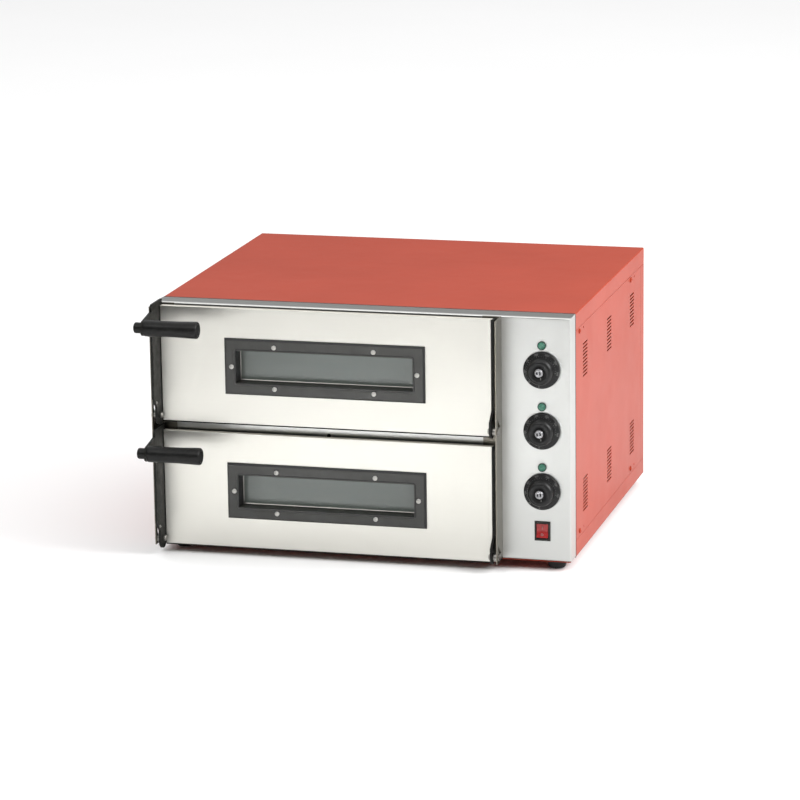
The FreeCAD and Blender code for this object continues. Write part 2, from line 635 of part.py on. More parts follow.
def window_frame(deck_name, rise):
    """A bevelled bezel with a sleeve that lines the window's way through the door."""
    name = deck_name + "_window_frame"
    front, base = "-door_face - bezel_thick", "-door_face"
    bezel = block(name + "_bezel", about(WINDOW_X, "bezel_width / 2"), (front, base),
                  about(WINDOW_Z, "bezel_height / 2"))
    bevelled = round_edges(name + "_bevelled", bezel, "bezel_bevel",
                           lambda edge, whole: level(edge.YMax, whole.YMin), "Part::Chamfer")
    sleeve = window_block(name + "_sleeve", "sleeve_wall", (f"{base} - 1", f"{GLASS_FRONT} - seal_wall"))
    opening = window_block(name + "_opening", "0", (f"{front} - 1", "0"))
    body = cut(name + "_open", fuse(name + "_body", [bevelled, sleeve]), [opening])
    seat(cut(name + "_drilled", body, window_screw_holes(name + "_hole")), name, rise)


def window_glass(deck_name, rise):
    name = deck_name + "_window_glass"
    pane = window_block(name + "_pane", "glass_margin", (GLASS_FRONT, GLASS_BACK))
    eased = round_edges(name + "_eased", pane, "skin_edge", lambda edge, whole: edge.YLength > 1,
                        "Part::Chamfer")
    seat(eased, name, rise)


def window_seal(deck_name, rise):
    """A channel gasket round the glass."""
    name = deck_name + "_window_seal"
    outer = window_block(name + "_outer", "glass_margin + seal_wall",
                         (f"{GLASS_FRONT} - seal_wall", GLASS_BACK))
    opening = window_block(name + "_opening", "0", (f"{GLASS_FRONT} - seal_wall - 1", "0"))
    seat_for_glass = window_block(name + "_seat", "glass_margin", (GLASS_FRONT, "0"))
    seat(cut(name + "_ring", outer, [fuse(name + "_void", [opening, seat_for_glass])]), name, rise)


def screw_body(name, head, height):
    """A pan-head screw with its seat at Y = 0, its head towards -Y and its shank towards +Y."""
    profile = [(f"1 - {height}", "0"), (f"1 - {height}", "1.2"), (f"-{height}", "1.3"),
               (f"0.15 - {height}", f"{head} - 1.1"), (f"0.6 - {height}", f"{head} - 0.35"),
               (f"1.3 - {height}", head), ("0", head), ("0", "screw_shank"),
               ("screw_length", "screw_shank"), ("screw_length", "0")]
    return turned(name, "YZ_Plane", "H_Axis", profile)


def window_screws(deck_name, rise):
    name = deck_name + "_window_screws"
    master = screw_body(name + "_master", "screw_head", "screw_head_height")
    places = [(x, "-door_face - bezel_thick", z, FreeCAD.Rotation()) for x, z in window_screw_places()]
    seat(copies(name, master, places), name, rise)


def door_arm(deck_name, side, rise):
    """A plate along the door's edge; the left one reaches forwards to carry the grip."""
    name = f"{deck_name}_{side}_arm"
    x = LEFT_ARM if side == "left" else RIGHT_ARM
    carries_grip = side == "left"
    front = "arm_ahead" if carries_grip else "right_arm_ahead"
    top = "arm_top" if carries_grip else "right_arm_top"
    eye = "arm_end_radius" if carries_grip else "arm_end_radius - 4"
    upright = padded(name + "_upright", "YZ_Plane", arm_outline(front, top, eye), x[0], "arm_thick")
    parts = [upright, rod(name + "_eye", "X", (x[0], "-hinge_ahead", "hinge_z"), eye, "arm_thick")]
    if carries_grip:
        gusset = [("0.5 - arm_ahead", "gusset_base"), ("0.5 - arm_ahead", "gusset_top"),
                  ("-grip_ahead", "grip_z + grip_radius - 1"), ("-grip_ahead", "grip_z - grip_radius + 1")]
        parts.append(padded(name + "_gusset", "YZ_Plane", gusset, x[0], "arm_thick"))
        parts.append(rod(name + "_boss", "X", (x[0], "-grip_ahead", "grip_z"), "grip_radius - 1",
                         "arm_thick"))
    holes = [rod(name + "_bore", "X", (f"{x[0]} - 1", "-hinge_ahead", "hinge_z"), "pin_radius + running_gap",
                 "arm_thick + 2")]
    if carries_grip:
        holes.append(rod(name + "_bolt_hole", "X", (f"{x[0]} - 1", "-grip_ahead", "grip_z"),
                         "bolt_radius + running_gap", "arm_thick + 2"))
    seat(cut(name + "_drilled", fuse(name + "_blank", parts), holes), name, rise)


def arm_outline(front, top, eye):
    """The upright's outline: chamfered at the top, drawn in to the eye's width at the hinge."""
    neck = f"-hinge_ahead - ({eye})"
    return [("-door_rear", top), (f"arm_chamfer - {front}", top), (f"-{front}", f"{top} - arm_chamfer"),
            (f"-{front}", "waist_top"), (neck, "waist_base"), (neck, "hinge_z"), ("-door_rear", "hinge_z")]


def door_grip(deck_name, rise):
    """A moulded handle, threaded on to the arm's bolt."""
    name = deck_name + "_grip"
    start = LEFT_ARM[1]
    end = f"{start} + grip_length"
    dish, bolt_end = f"{end} - 1", f"{start} + bolt_length"
    profile = [(start, "bolt_radius"), (start, "grip_radius - 0.6"), (f"{end} - 12", "grip_radius"),
               (end, "grip_radius"), (end, "grip_radius - 3.2"), (dish, "grip_radius - 3.8"), (dish, "0"),
               (bolt_end, "0"), (bolt_end, "bolt_radius")]
    handle = turned(name + "_body", "XY_Plane", "H_Axis", profile)
    dress(handle, "PartDesign::Fillet", "Radius", "grip_round",
          lambda edge, whole: level(edge.XMin, whole.XMax) and level(edge.ZMax, whole.ZMax))
    seat(handle, name, rise, y="-grip_ahead", z="grip_z")


def grip_bolt(deck_name, rise):
    """The bolt through the arm, with a smooth cap outside."""
    name = deck_name + "_grip_bolt"
    start = LEFT_ARM[0]
    outer = f"{start} - bolt_cap_length"
    tip = f"{LEFT_ARM[1]} + bolt_length"
    profile = [(outer, "0"), (outer, "bolt_cap_radius"), (start, "bolt_cap_radius"), (start, "bolt_radius"),
               (tip, "bolt_radius"), (tip, "0")]
    bolt = turned(name + "_body", "XY_Plane", "H_Axis", profile)
    dress(bolt, "PartDesign::Fillet", "Radius", "bolt_cap_round",
          lambda edge, whole: level(edge.XMax, whole.XMin))
    seat(bolt, name, rise, y="-grip_ahead", z="grip_z")


def door(deck_name, deck):
    rise = deck_rise(deck)
    for make in (door_skin, door_frame, inner_pan, window_frame, window_glass, window_seal, window_screws,
                 door_grip, grip_bolt):
        make(deck_name, rise)
    for side in ("left", "right"):
        door_arm(deck_name, side, rise)


# ---------------------------------------------------------------- controls

def thermostat(number, name):
    """A capillary thermostat behind the fascia, held by its threaded bushing."""
    height = f"top_knob_z - {number} * knob_pitch"
    half = "thermostat_size / 2"
    case_front = FASCIA_BACK
    case = block(name + "_case", about("control_x", half), (case_front, f"{case_front} + thermostat_depth"),
                 about(height, half))
    bushing = rod(name + "_bushing", "Y", ("control_x", "-fascia_depth - knob_standoff + 0.5", height),
                  "bushing_radius", "fascia_sheet + knob_standoff + 2")
    tabs = [block(name + "_tab", (f"control_x + {offset} - 3.2", f"control_x + {offset} + 3.2"),
                  (f"{case_front} + thermostat_depth - 1", f"{case_front} + thermostat_depth + 9"),
                  (f"{height} + 5", f"{height} + 5.8")) for offset in (-9, 9)]
    bore = rod(name + "_bore", "Y", ("control_x", "-fascia_depth - 3", height),
               "spindle_radius + running_gap", "24")
    seat(cut(name + "_bored", fuse(name + "_body", [case, bushing] + tabs), [bore]), name)


def knob(number, name):
    """A skirted knob, turned about Y, with a metal spindle whose head shows in the middle."""
    height = f"top_knob_z - {number} * knob_pitch"
    back = "-knob_standoff"
    front = "-knob_reach"
    profile = [(back, "spindle_radius"), (back, "skirt_radius - 1"), (f"{back} - 1", "skirt_radius"),
               (f"{back} - 1.8", "skirt_radius"), (f"{back} - 4.4", "knob_radius + 1.2"),
               (f"{back} - 4.8", "knob_radius"), (f"{front} + 2.6", "knob_radius - 0.5"),
               (f"{front} + 1", "knob_radius - 1.4"), (f"{front} + 0.1", "knob_radius - 3.4"),
               (f"{front} + 0.3", "knob_radius - 6"), (f"{front} + 1.2", "spindle_head + 2.2"),
               (f"{front} + 1.4", "spindle_head"), (f"{front} + 1.4", "spindle_radius")]
    handle = turned(name + "_moulding", "YZ_Plane", "H_Axis", profile)
    seat(handle, name, x="control_x", y="-fascia_depth", z=height)


def knob_spindle(number, name):
    height = f"top_knob_z - {number} * knob_pitch"
    seat_at = "1.4 - knob_reach"
    front = "-spindle_reach"
    profile = [(f"{front} + 0.8", "0"), (f"{front} + 0.8", "1.6"), (front, "2"),
               (front, "spindle_head - 0.9"), (f"{front} + 0.9", "spindle_head"), (seat_at, "spindle_head"),
               (seat_at, "spindle_radius"), ("14", "spindle_radius"), ("14", "0")]
    bar = turned(name + "_bar", "YZ_Plane", "H_Axis", profile)
    seat(bar, name, x="control_x", y="-fascia_depth", z=height)


def pilot_light(number, name):
    """A neon lamp with a domed lens."""
    height = f"top_knob_z - {number} * knob_pitch + pilot_rise"
    profile = [("-3.6", "0"), ("-3.5", "1.6"), ("-3.1", "3.2"), ("-2.3", "4.6"),
               ("-1.2", "pilot_radius - 0.3"), ("-0.6", "pilot_radius"), ("0", "pilot_radius"),
               ("0", "pilot_body"), ("16", "pilot_body"), ("16", "2.4"), ("21", "2.4"), ("21", "0")]
    lamp = turned(name + "_lens", "YZ_Plane", "H_Axis", profile)
    seat(lamp, name, x="control_x", y="-fascia_depth", z=height)


def switch_housing():
    """A snap-in frame with a well for the rocker and bores for its trunnions."""
    rim = block("switch_rim_block", about("control_x", "switch_width / 2"),
                ("-fascia_depth - switch_rim", "-fascia_depth"), about("switch_z", "switch_height / 2"))
    eased = round_edges("switch_eased", rim, "skin_edge", lambda edge, whole: level(edge.YMax, whole.YMin))
    inset = "(switch_wall + running_gap)"
    body = block("switch_body", about("control_x", f"switch_width / 2 - {inset}"),
                 ("-fascia_depth - 0.1", "switch_depth - fascia_depth"),
                 about("switch_z", f"switch_height / 2 - {inset}"))
    well = block("switch_well", about("control_x", "switch_well_width / 2"),
                 ("-fascia_depth - switch_rim - 1", "switch_depth - fascia_depth - 4"),
                 about("switch_z", "switch_well_height / 2"))
    bore_start = ("control_x - switch_width / 2 - 1", "-rocker_pivot", "switch_z")
    trunnion = rod("switch_trunnion_bore", "X", bore_start, "trunnion_radius + running_gap",
                   "switch_width + 2")
    tabs = [block("switch_tab", about(f"control_x + {offset}", "0.4"),
                  ("switch_depth - fascia_depth - 1", "switch_depth - fascia_depth + 9"),
                  about("switch_z", "3.2")) for offset in (-4.5, 4.5)]
    body = fuse("switch_solid", [eased, body] + tabs)
    seat(cut("switch_bored", body, [fuse("switch_void", [well, trunnion])]), "switch_housing")


def switch_rocker():
    """The rocker, drawn level about its trunnions and then tilted to its off position."""
    outline = [("-rocker_face", "rocker_half"), ("-rocker_dip - 0.5", "rocker_half / 2"),
               ("-rocker_dip", "0"), ("-rocker_dip - 0.5", "-rocker_half / 2"),
               ("-rocker_face", "-rocker_half"), ("-2.5", "-rocker_half"), ("2.5", "-2"), ("2.5", "2"),
               ("-2.5", "rocker_half")]
    paddle = padded("rocker_paddle", "YZ_Plane", outline, "-rocker_width / 2", "rocker_width")
    dress(paddle, "PartDesign::Fillet", "Radius", "skin_edge",
          lambda edge, whole: level(edge.YMax, whole.YMin))
    trunnion = rod("rocker_trunnion", "X", ("0.3 - switch_width / 2 + switch_wall", "0", "0"),
                   "trunnion_radius", "switch_width - 2 * switch_wall - 0.6")
    rocker = fuse("rocker_solid", [paddle, trunnion])
    rocker.Placement.Rotation = FreeCAD.Rotation(FreeCAD.Vector(1, 0, 0), -SIZES["rocker_tilt"])
    seat(rocker, "switch_rocker", x="control_x", y="-rocker_pivot", z="switch_z")


# ---------------------------------------------------------------- supply, feet and fasteners

def cable_gland():
    """A gland in the rear panel: locknut inside, body and domed nut outside, bored through."""
    profile = [("-10", "gland_bore"), ("-10", "gland_thread"), ("-panel_sheet", "gland_thread"),
               ("0", "gland_thread"), ("0", "gland_dome + 1.5"), ("4", "gland_dome + 1.5"),
               ("4", "gland_dome"),
               ("gland_reach - 7", "gland_dome"), ("gland_reach - 2.5", "gland_dome - 1.6"),
               ("gland_reach", "gland_bore + 2"), ("gland_reach", "gland_bore")]
    gland = turned("gland_turned", "YZ_Plane", "H_Axis", profile)
    seat(gland, "cable_gland", x="gland_x", y="shell_depth", z="gland_z")


def terminal_block():
    """A row of screw terminals on the base pan, below the gland."""
    x0 = "gland_x - block_length / 2"
    y1 = "shell_depth - 40"
    low = "panel_sheet"
    base = block("terminal_base", (x0, f"{x0} + block_length"), (f"{y1} - block_depth", y1),
                 (low, f"{low} + block_height"))
    wells = [rod("terminal_well", "Z", (f"{x0} + {tenths} * block_length / 10", f"{y1} - block_depth / 2",
                                        f"{low} + 5"), "3", "block_height") for tenths in (1, 3, 5, 7, 9)]
    seat(cut("terminal_moulding", base, wells), "terminal_block")


def feet():
    """Four tapered rubber feet, each with a recess for its screw."""
    profile = [("foot_recess", "-foot_height"), ("foot_base", "-foot_height"), ("foot_top", "0"),
               ("0", "0"), ("0", "-4"), ("foot_recess", "-4")]
    foot = turned("foot", "XZ_Plane", "V_Axis", profile)
    dress(foot, "PartDesign::Fillet", "Radius", "foot_round",
          lambda edge, whole: level(edge.ZMax, whole.ZMin) and edge.XLength > 2 * SIZES["foot_recess"] + 1)
    places = [(x, y, "0", FreeCAD.Rotation()) for x in ("foot_inset", "shell_width - foot_inset")
              for y in ("front_foot_y", "shell_depth - foot_inset")]
    seat(copies("foot", foot, places), "feet")


def panel_screws():
    """The self-tapping screws of the side panels and the rear panel."""
    master = screw_body("panel_screw", "panel_screw_head", "panel_screw_height")
    up = FreeCAD.Vector(0, 0, 1)
    heights = ("screw_low_z", "screw_high_z")
    places = []
    for x, turn in (("0", -90), ("shell_width", 90)):
        places += [(x, y, z, FreeCAD.Rotation(up, turn))
                   for y in ("screw_front_y", "screw_back_y") for z in heights]
    places += [(x, "shell_depth", z, FreeCAD.Rotation(up, 180)) for x in REAR_SCREW_X for z in heights]
    seat(copies("panel_screw", master, places), "panel_screws")


# ---------------------------------------------------------------- the whole oven

def build():
    fill_sheet()
    base_pan()
    top_cover()
    side_panel("left_side_panel", "0")
    side_panel("right_side_panel", "shell_width - panel_sheet")
    rear_panel()
    front_fascia()
    hinge_plate("left_hinge_plate", "0", 1)
    hinge_plate("right_hinge_plate", "right_plate_x + plate_sheet", -1)
    hinge_pins()
    for deck_name, deck in DECKS:
        chamber(deck_name + "_chamber", deck)
        baking_stone(deck_name + "_baking_stone", deck)
        heating_element(deck_name + "_floor_element", "low_element_z", deck)
        heating_element(deck_name + "_roof_element", "high_element_z", deck)
        door(deck_name, deck)
    insulation("lower_insulation", ("fascia_base + fascia_sheet", "blanket_joint"), 0)
    insulation("upper_insulation", ("blanket_joint", "shell_height - 2 * panel_sheet"), 1)
    bay_divider()
    for number, place in enumerate(KNOBS):
        thermostat(number, place + "_thermostat")
        knob(number, place + "_knob")
        knob_spindle(number, place + "_knob_spindle")
        pilot_light(number, place + "_pilot_light")
    switch_housing()
    switch_rocker()
    cable_gland()
    terminal_block()
    feet()
    panel_screws()
    doc.recompute()


def check():
    """Stop if any object failed or any sub-part isn't a valid solid."""
    faults = [f"{item.Name}: {item.State}" for item in doc.Objects
              if "Invalid" in item.State or "Error" in item.State]
    for node in nodes:
        if node.Shape.isNull() or not node.Shape.isValid() or not node.Shape.Solids:
            faults.append(f"{node.Label}: no valid shape")
    if faults:
        raise RuntimeError("\n".join(faults))


def export():
    os.makedirs("parts", exist_ok=True)
    for node in nodes:
        node.Shape.exportStep(f"parts/{node.Label}.step")
    print(len(nodes), "sub-parts written")


build()
check()
export()
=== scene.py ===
"""Looks of the double-deck pizza oven: materials, finely made small pieces, studio and camera.

Lengths are in metres, in the frame's own axes: X to the right, Y to the rear, Z up.  Profiles of
small turned pieces are written in millimetres.
"""
import json
import math
import random
import bmesh
import bpy
from mathutils import Matrix, Vector

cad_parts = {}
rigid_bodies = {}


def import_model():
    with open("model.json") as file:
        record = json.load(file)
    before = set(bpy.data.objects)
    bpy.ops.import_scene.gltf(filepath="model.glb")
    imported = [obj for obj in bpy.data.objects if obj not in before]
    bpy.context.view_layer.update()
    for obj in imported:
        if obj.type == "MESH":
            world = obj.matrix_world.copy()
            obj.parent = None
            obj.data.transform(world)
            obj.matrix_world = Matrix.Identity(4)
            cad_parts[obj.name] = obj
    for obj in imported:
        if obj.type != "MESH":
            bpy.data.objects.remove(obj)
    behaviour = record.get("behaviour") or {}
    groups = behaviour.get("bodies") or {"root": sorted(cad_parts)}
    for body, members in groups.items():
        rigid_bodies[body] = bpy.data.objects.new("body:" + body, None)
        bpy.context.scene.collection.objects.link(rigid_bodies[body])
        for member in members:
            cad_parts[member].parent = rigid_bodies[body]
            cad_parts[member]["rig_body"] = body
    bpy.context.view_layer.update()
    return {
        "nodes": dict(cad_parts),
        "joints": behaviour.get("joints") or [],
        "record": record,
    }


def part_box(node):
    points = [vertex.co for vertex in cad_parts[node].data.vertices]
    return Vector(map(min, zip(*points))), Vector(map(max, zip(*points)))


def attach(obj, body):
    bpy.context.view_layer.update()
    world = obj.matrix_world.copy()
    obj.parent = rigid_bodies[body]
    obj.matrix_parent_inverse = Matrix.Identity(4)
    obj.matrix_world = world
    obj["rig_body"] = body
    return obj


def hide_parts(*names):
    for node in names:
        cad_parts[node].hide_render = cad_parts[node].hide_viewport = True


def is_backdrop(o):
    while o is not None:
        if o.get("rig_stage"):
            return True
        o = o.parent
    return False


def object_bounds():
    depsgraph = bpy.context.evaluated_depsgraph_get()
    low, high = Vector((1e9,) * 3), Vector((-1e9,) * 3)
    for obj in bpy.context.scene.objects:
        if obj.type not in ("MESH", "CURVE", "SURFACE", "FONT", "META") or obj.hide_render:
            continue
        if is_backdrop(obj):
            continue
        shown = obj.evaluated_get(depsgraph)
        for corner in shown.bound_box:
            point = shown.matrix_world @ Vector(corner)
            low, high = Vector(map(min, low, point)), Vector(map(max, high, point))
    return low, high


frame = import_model()

MM = 0.001
DECKS = ("lower", "upper")
DIALS = ("top", "middle", "bottom")
FORWARD = Vector((0, -1, 0))


# ---------------------------------------------------------------- node materials

class Look:
    """A node material on one Principled shader.  Its textures are laid out in the piece's own space."""

    def __init__(self, name, colour, roughness, metallic=0.0, **fixed):
        self.material = bpy.data.materials.new(name)
        self.material.use_nodes = True
        self.tree = self.material.node_tree
        self.shader = self.tree.nodes["Principled BSDF"]
        self.shader.inputs["Base Color"].default_value = (*colour, 1.0)
        self.shader.inputs["Roughness"].default_value = roughness
        self.shader.inputs["Metallic"].default_value = metallic
        for socket, value in fixed.items():
            self.shader.inputs[socket.replace("_", " ")].default_value = value
        own_space = self.add("ShaderNodeTexCoord")
        self.place, self.normal = own_space.outputs["Object"], own_space.outputs["Normal"]

    def add(self, kind, inputs=(), **settings):
        """A node with its settings, and with numbers or other nodes' outputs on its inputs."""
        node = self.tree.nodes.new(kind)
        for key, value in settings.items():
            setattr(node, key, value)
        for key, value in dict(inputs).items():
            if isinstance(value, bpy.types.NodeSocket):
                self.tree.links.new(value, node.inputs[key])
            else:
                node.inputs[key].default_value = value
        return node

    def noise(self, size, detail=3.0, rough=0.55, distortion=0.0):
        """Noise whose features have a size in millimetres: one number, or one for each axis."""
        sizes = size if isinstance(size, tuple) else (size, size, size)
        density = tuple(1.0 / (value * MM) for value in sizes)
        spread = self.add("ShaderNodeVectorMath", {0: self.place, 1: density}, operation="MULTIPLY")
        settings = {"Vector": spread.outputs[0], "Scale": 1.0, "Detail": detail, "Roughness": rough,
                    "Distortion": distortion}
        return self.add("ShaderNodeTexNoise", settings).outputs["Fac"]

    def cells(self, size, feature="F1", output="Distance"):
        """Voronoi cells of a size in millimetres."""
        density = (1.0 / (size * MM),) * 3
        spread = self.add("ShaderNodeVectorMath", {0: self.place, 1: density}, operation="MULTIPLY")
        settings = {"Vector": spread.outputs[0], "Scale": 1.0}
        return self.add("ShaderNodeTexVoronoi", settings, feature=feature).outputs[output]

    def span(self, value, low, high, start=0.0, end=1.0):
        """The value's stretch from low to high, spread from start to end and held there outside it."""
        node = self.add("ShaderNodeMapRange", {"Value": value, "From Min": low, "From Max": high,
                                               "To Min": start, "To Max": end})
        return node.outputs["Result"]

    def maths(self, operation, first, second=0.0):
        return self.add("ShaderNodeMath", {0: first, 1: second}, operation=operation).outputs[0]

    def mix(self, factor, first, second):
        """A colour between two colours, each three numbers or a node's output."""
        ends = [(*end, 1.0) if isinstance(end, tuple) else end for end in (first, second)]
        node = self.add("ShaderNodeMix", {0: factor}, data_type="RGBA")
        for socket, end in zip((node.inputs[6], node.inputs[7]), ends):
            if isinstance(end, bpy.types.NodeSocket):
                self.tree.links.new(end, socket)
            else:
                socket.default_value = end
        return node.outputs[2]

    def facing(self, axis):
        """How squarely a face looks along one of the piece's axes, either way: 1 square on, 0 edge on."""
        parts = self.add("ShaderNodeSeparateXYZ", {0: self.normal})
        return self.maths("ABSOLUTE", parts.outputs[axis])

    def drive(self, socket, source):
        self.tree.links.new(source, self.shader.inputs[socket])

    def emboss(self, height, depth, strength=1.0):
        """Surface relief: a height from 0 to 1 over a depth in millimetres.  Reliefs add up."""
        inputs = {"Height": height, "Distance": depth * MM, "Strength": strength}
        if self.shader.inputs["Normal"].is_linked:
            inputs["Normal"] = self.shader.inputs["Normal"].links[0].from_socket
        self.drive("Normal", self.add("ShaderNodeBump", inputs).outputs["Normal"])


def red_enamel():
    """Powder coat: a faint orange peel, slightly uneven in tone and gloss."""
    look = Look("red_enamel", RED, 0.39, Specular_IOR_Level=0.15)
    tone = look.span(look.noise(120.0, 2.0), 0.3, 0.7)
    speck = look.span(look.noise(0.9, 2.0), 0.45, 0.7)
    deep = tuple(0.95 * part for part in RED)
    pale = tuple(1.03 * part + 0.002 for part in RED)
    look.drive("Base Color", look.mix(look.maths("MULTIPLY", speck, 0.3), look.mix(tone, deep, pale), deep))
    look.drive("Roughness", look.span(look.noise(45.0, 3.0), 0.3, 0.7, 0.37, 0.41))
    look.emboss(look.noise(1.6, 2.0, 0.5), 0.02, 0.35)
    return look.material


def brushed_steel(name, colour, roughness, along, contrast=1.0):
    """Stainless sheet with a fine grain along one axis, which spreads reflections across the grain."""
    look = Look(name, colour, roughness, 1.0, Anisotropic=0.6)
    grain_way = look.add("ShaderNodeCombineXYZ", {along: 1.0})
    look.drive("Tangent", grain_way.outputs[0])
    fine = tuple(55.0 if axis == along else 0.32 for axis in range(3))
    coarse = tuple(220.0 if axis == along else 2.2 for axis in range(3))
    scratch = look.noise(fine, 3.0, 0.6)
    band = look.noise(coarse, 4.0, 0.6)
    smudge = look.noise(70.0, 4.0, 0.6, 0.6)
    grain = look.maths("ADD", look.maths("MULTIPLY", scratch, 0.6), look.maths("MULTIPLY", band, 0.4))
    dark = tuple(part * (1.0 - 0.055 * contrast) for part in colour)
    look.drive("Base Color", look.mix(look.span(grain, 0.36, 0.64), dark, colour))
    base = look.span(grain, 0.35, 0.65, roughness - 0.035 * contrast, roughness + 0.045 * contrast)
    wiped = look.span(smudge, 0.35, 0.75, -0.02 * contrast, 0.05 * contrast)
    look.drive("Roughness", look.maths("ADD", base, wiped))
    look.emboss(scratch, 0.004, 0.3 * contrast)
    return look.material


def black_coat(name, colour, roughness, peel, top_wrap_and_light=None):
    """Black powder coat with a fine texture.  Level faces can take a paler tone: on the tops partly a steel
    wrap, partly painted light from above.
    """
    look = Look(name, colour, roughness, Specular_IOR_Level=0.17)
    pale = tuple(part * 1.5 + 0.002 for part in colour)
    tone = look.mix(look.span(look.noise(6.0, 5.0), 0.35, 0.75), colour, pale)
    # Painted light: faces that lie level, lit from above, are mixed towards the paler tone.
    if top_wrap_and_light:
        tone = look.mix(look.span(look.facing(2), 0.8, 0.95), tone, top_wrap_and_light)
    look.drive("Base Color", tone)
    look.drive("Roughness", look.span(look.noise(9.0, 4.0), 0.3, 0.7, roughness - 0.05, roughness + 0.08))
    look.emboss(look.noise(peel, 2.0), 0.04, 0.6)
    return look.material


def bezel_coat():
    """The window frame: dark grey and satin.  Faces not square on along Y or Z, its bevels and side jambs,
    are near black; in the jambs this is painted shade.
    """
    look = Look("bezel_coat", (0.035, 0.035, 0.032), 0.34, Specular_IOR_Level=0.42)
    tone = look.span(look.noise(14.0, 4.0), 0.3, 0.7)
    face = look.mix(tone, (0.027, 0.027, 0.024), (0.034, 0.034, 0.031))
    # Painted shade: faces turned sideways, such as the side jambs of the deep opening, go near black.
    square_on = look.maths("MAXIMUM", look.facing(1), look.facing(2))
    look.drive("Base Color", look.mix(look.span(square_on, 0.8, 0.95), (0.006, 0.006, 0.006), face))
    look.drive("Roughness", look.span(look.noise(25.0, 3.0), 0.3, 0.7, 0.30, 0.40))
    look.emboss(look.noise(0.8, 2.0), 0.02, 0.5)
    return look.material


def painted_shade_sheet():
    """Unpainted inner sheet: dull, with a faint spangle, and kept nearly black as painted shade inside the
    control bay behind the vents.
    """
    look = Look("painted_shade_sheet", (0.05, 0.048, 0.045), 0.6, 0.4)
    parts = look.add("ShaderNodeSeparateColor", {0: look.cells(7.0, output="Color")}).outputs[0]
    look.drive("Base Color", look.mix(parts, (0.035, 0.034, 0.032), (0.065, 0.062, 0.058)))
    look.drive("Roughness", look.span(parts, 0.0, 1.0, 0.5, 0.7))
    look.emboss(look.noise(3.0, 3.0), 0.03, 0.4)
    return look.material


def aluminised_sheet():
    """Oven lining: a crystalline spangle, dulled and browned a little by heat."""
    look = Look("aluminised_sheet", (0.50, 0.49, 0.46), 0.42, 0.9)
    spangle = look.cells(9.0, output="Color")
    parts = look.add("ShaderNodeSeparateColor", {0: spangle}).outputs[0]
    heat = look.span(look.noise(60.0, 4.0), 0.35, 0.75)
    metal = look.mix(parts, (0.46, 0.45, 0.43), (0.54, 0.53, 0.50))
    look.drive("Base Color", look.mix(look.maths("MULTIPLY", heat, 0.3), metal, (0.40, 0.34, 0.26)))
    look.drive("Roughness", look.span(parts, 0.0, 1.0, 0.40, 0.48))
    look.emboss(look.noise(3.0, 3.0), 0.03, 0.4)
    return look.material


def firebrick():
    """Cordierite stone: cream with fine dark and pale grains, pores and a little browning."""
    look = Look("firebrick", (0.62, 0.52, 0.39), 0.92, Specular_IOR_Level=0.2)
    grain = look.span(look.noise(1.1, 4.0, 0.7), 0.36, 0.66)
    base = look.mix(grain, (0.50, 0.40, 0.28), (0.72, 0.63, 0.49))
    pores = look.span(look.cells(2.4), 0.0, 0.22, 1.0, 0.0)
    baked = look.span(look.noise(75.0, 5.0), 0.48, 0.72, 0.0, 0.55)
    tinted = look.mix(baked, base, (0.40, 0.27, 0.16))
    look.drive("Base Color", look.mix(look.maths("MULTIPLY", pores, 0.7), tinted, (0.20, 0.15, 0.10)))
    look.emboss(grain, 0.25, 0.7)
    look.emboss(pores, -0.4, 0.8)
    return look.material


def heater_sheath():
    """Heating element: dark oxide with straw and blue tints along the tube."""
    look = Look("heater_sheath", (0.10, 0.09, 0.085), 0.48, 0.85)
    tint = look.span(look.noise(26.0, 3.0), 0.35, 0.7)
    look.drive("Base Color", look.mix(tint, (0.075, 0.070, 0.075), (0.17, 0.125, 0.085)))
    look.drive("Roughness", look.span(look.noise(4.0, 4.0), 0.3, 0.7, 0.38, 0.60))
    look.emboss(look.noise(0.7, 3.0), 0.04, 0.6)
    return look.material


def mineral_wool():
    look = Look("mineral_wool", (0.66, 0.58, 0.36), 1.0, Specular_IOR_Level=0.1)
    fibre = look.span(look.noise((6.0, 0.5, 0.5), 4.0, 0.7, 1.5), 0.3, 0.7)
    look.drive("Base Color", look.mix(fibre, (0.42, 0.35, 0.19), (0.80, 0.73, 0.52)))
    look.emboss(fibre, 1.2, 0.8)
    return look.material


def oven_glass():
    """Green-grey oven glass, evenly hazed on its hot side."""
    look = Look("oven_glass", (0.27, 0.31, 0.28), 0.30, Transmission_Weight=0.5, IOR=1.6)
    look.drive("Roughness", look.span(look.noise(90.0, 1.0), 0.3, 0.7, 0.20, 0.23))
    return look.material


def rubber(name, colour, roughness=0.72):
    look = Look(name, colour, roughness, Specular_IOR_Level=0.35)
    dust = tuple(part * 2.2 + 0.01 for part in colour)
    look.drive("Base Color", look.mix(look.span(look.noise(3.5, 5.0), 0.5, 0.8, 0.0, 0.6), colour, dust))
    look.drive("Roughness", look.span(look.noise(5.0, 4.0), 0.3, 0.7, roughness - 0.08, roughness + 0.1))
    look.emboss(look.noise(0.45, 2.0), 0.05, 0.7)
    return look.material


def phenolic():
    """Moulded handle plastic: black, with a soft gloss and a faint mould texture."""
    look = Look("phenolic", (0.009, 0.009, 0.009), 0.34, Specular_IOR_Level=0.17)
    look.drive("Base Color", look.mix(look.span(look.noise(4.0, 5.0), 0.4, 0.8), (0.006, 0.006, 0.006),
                                      (0.012, 0.012, 0.011)))
    side = look.span(look.noise(9.0, 3.0), 0.3, 0.7, 0.30, 0.40)
    end_face = look.span(look.facing(2), 0.8, 0.95, 0.0, 0.35)
    look.drive("Roughness", look.maths("ADD", side, end_face))
    look.emboss(look.noise((14.0, 0.5, 0.5), 2.0), 0.015, 0.5)
    return look.material


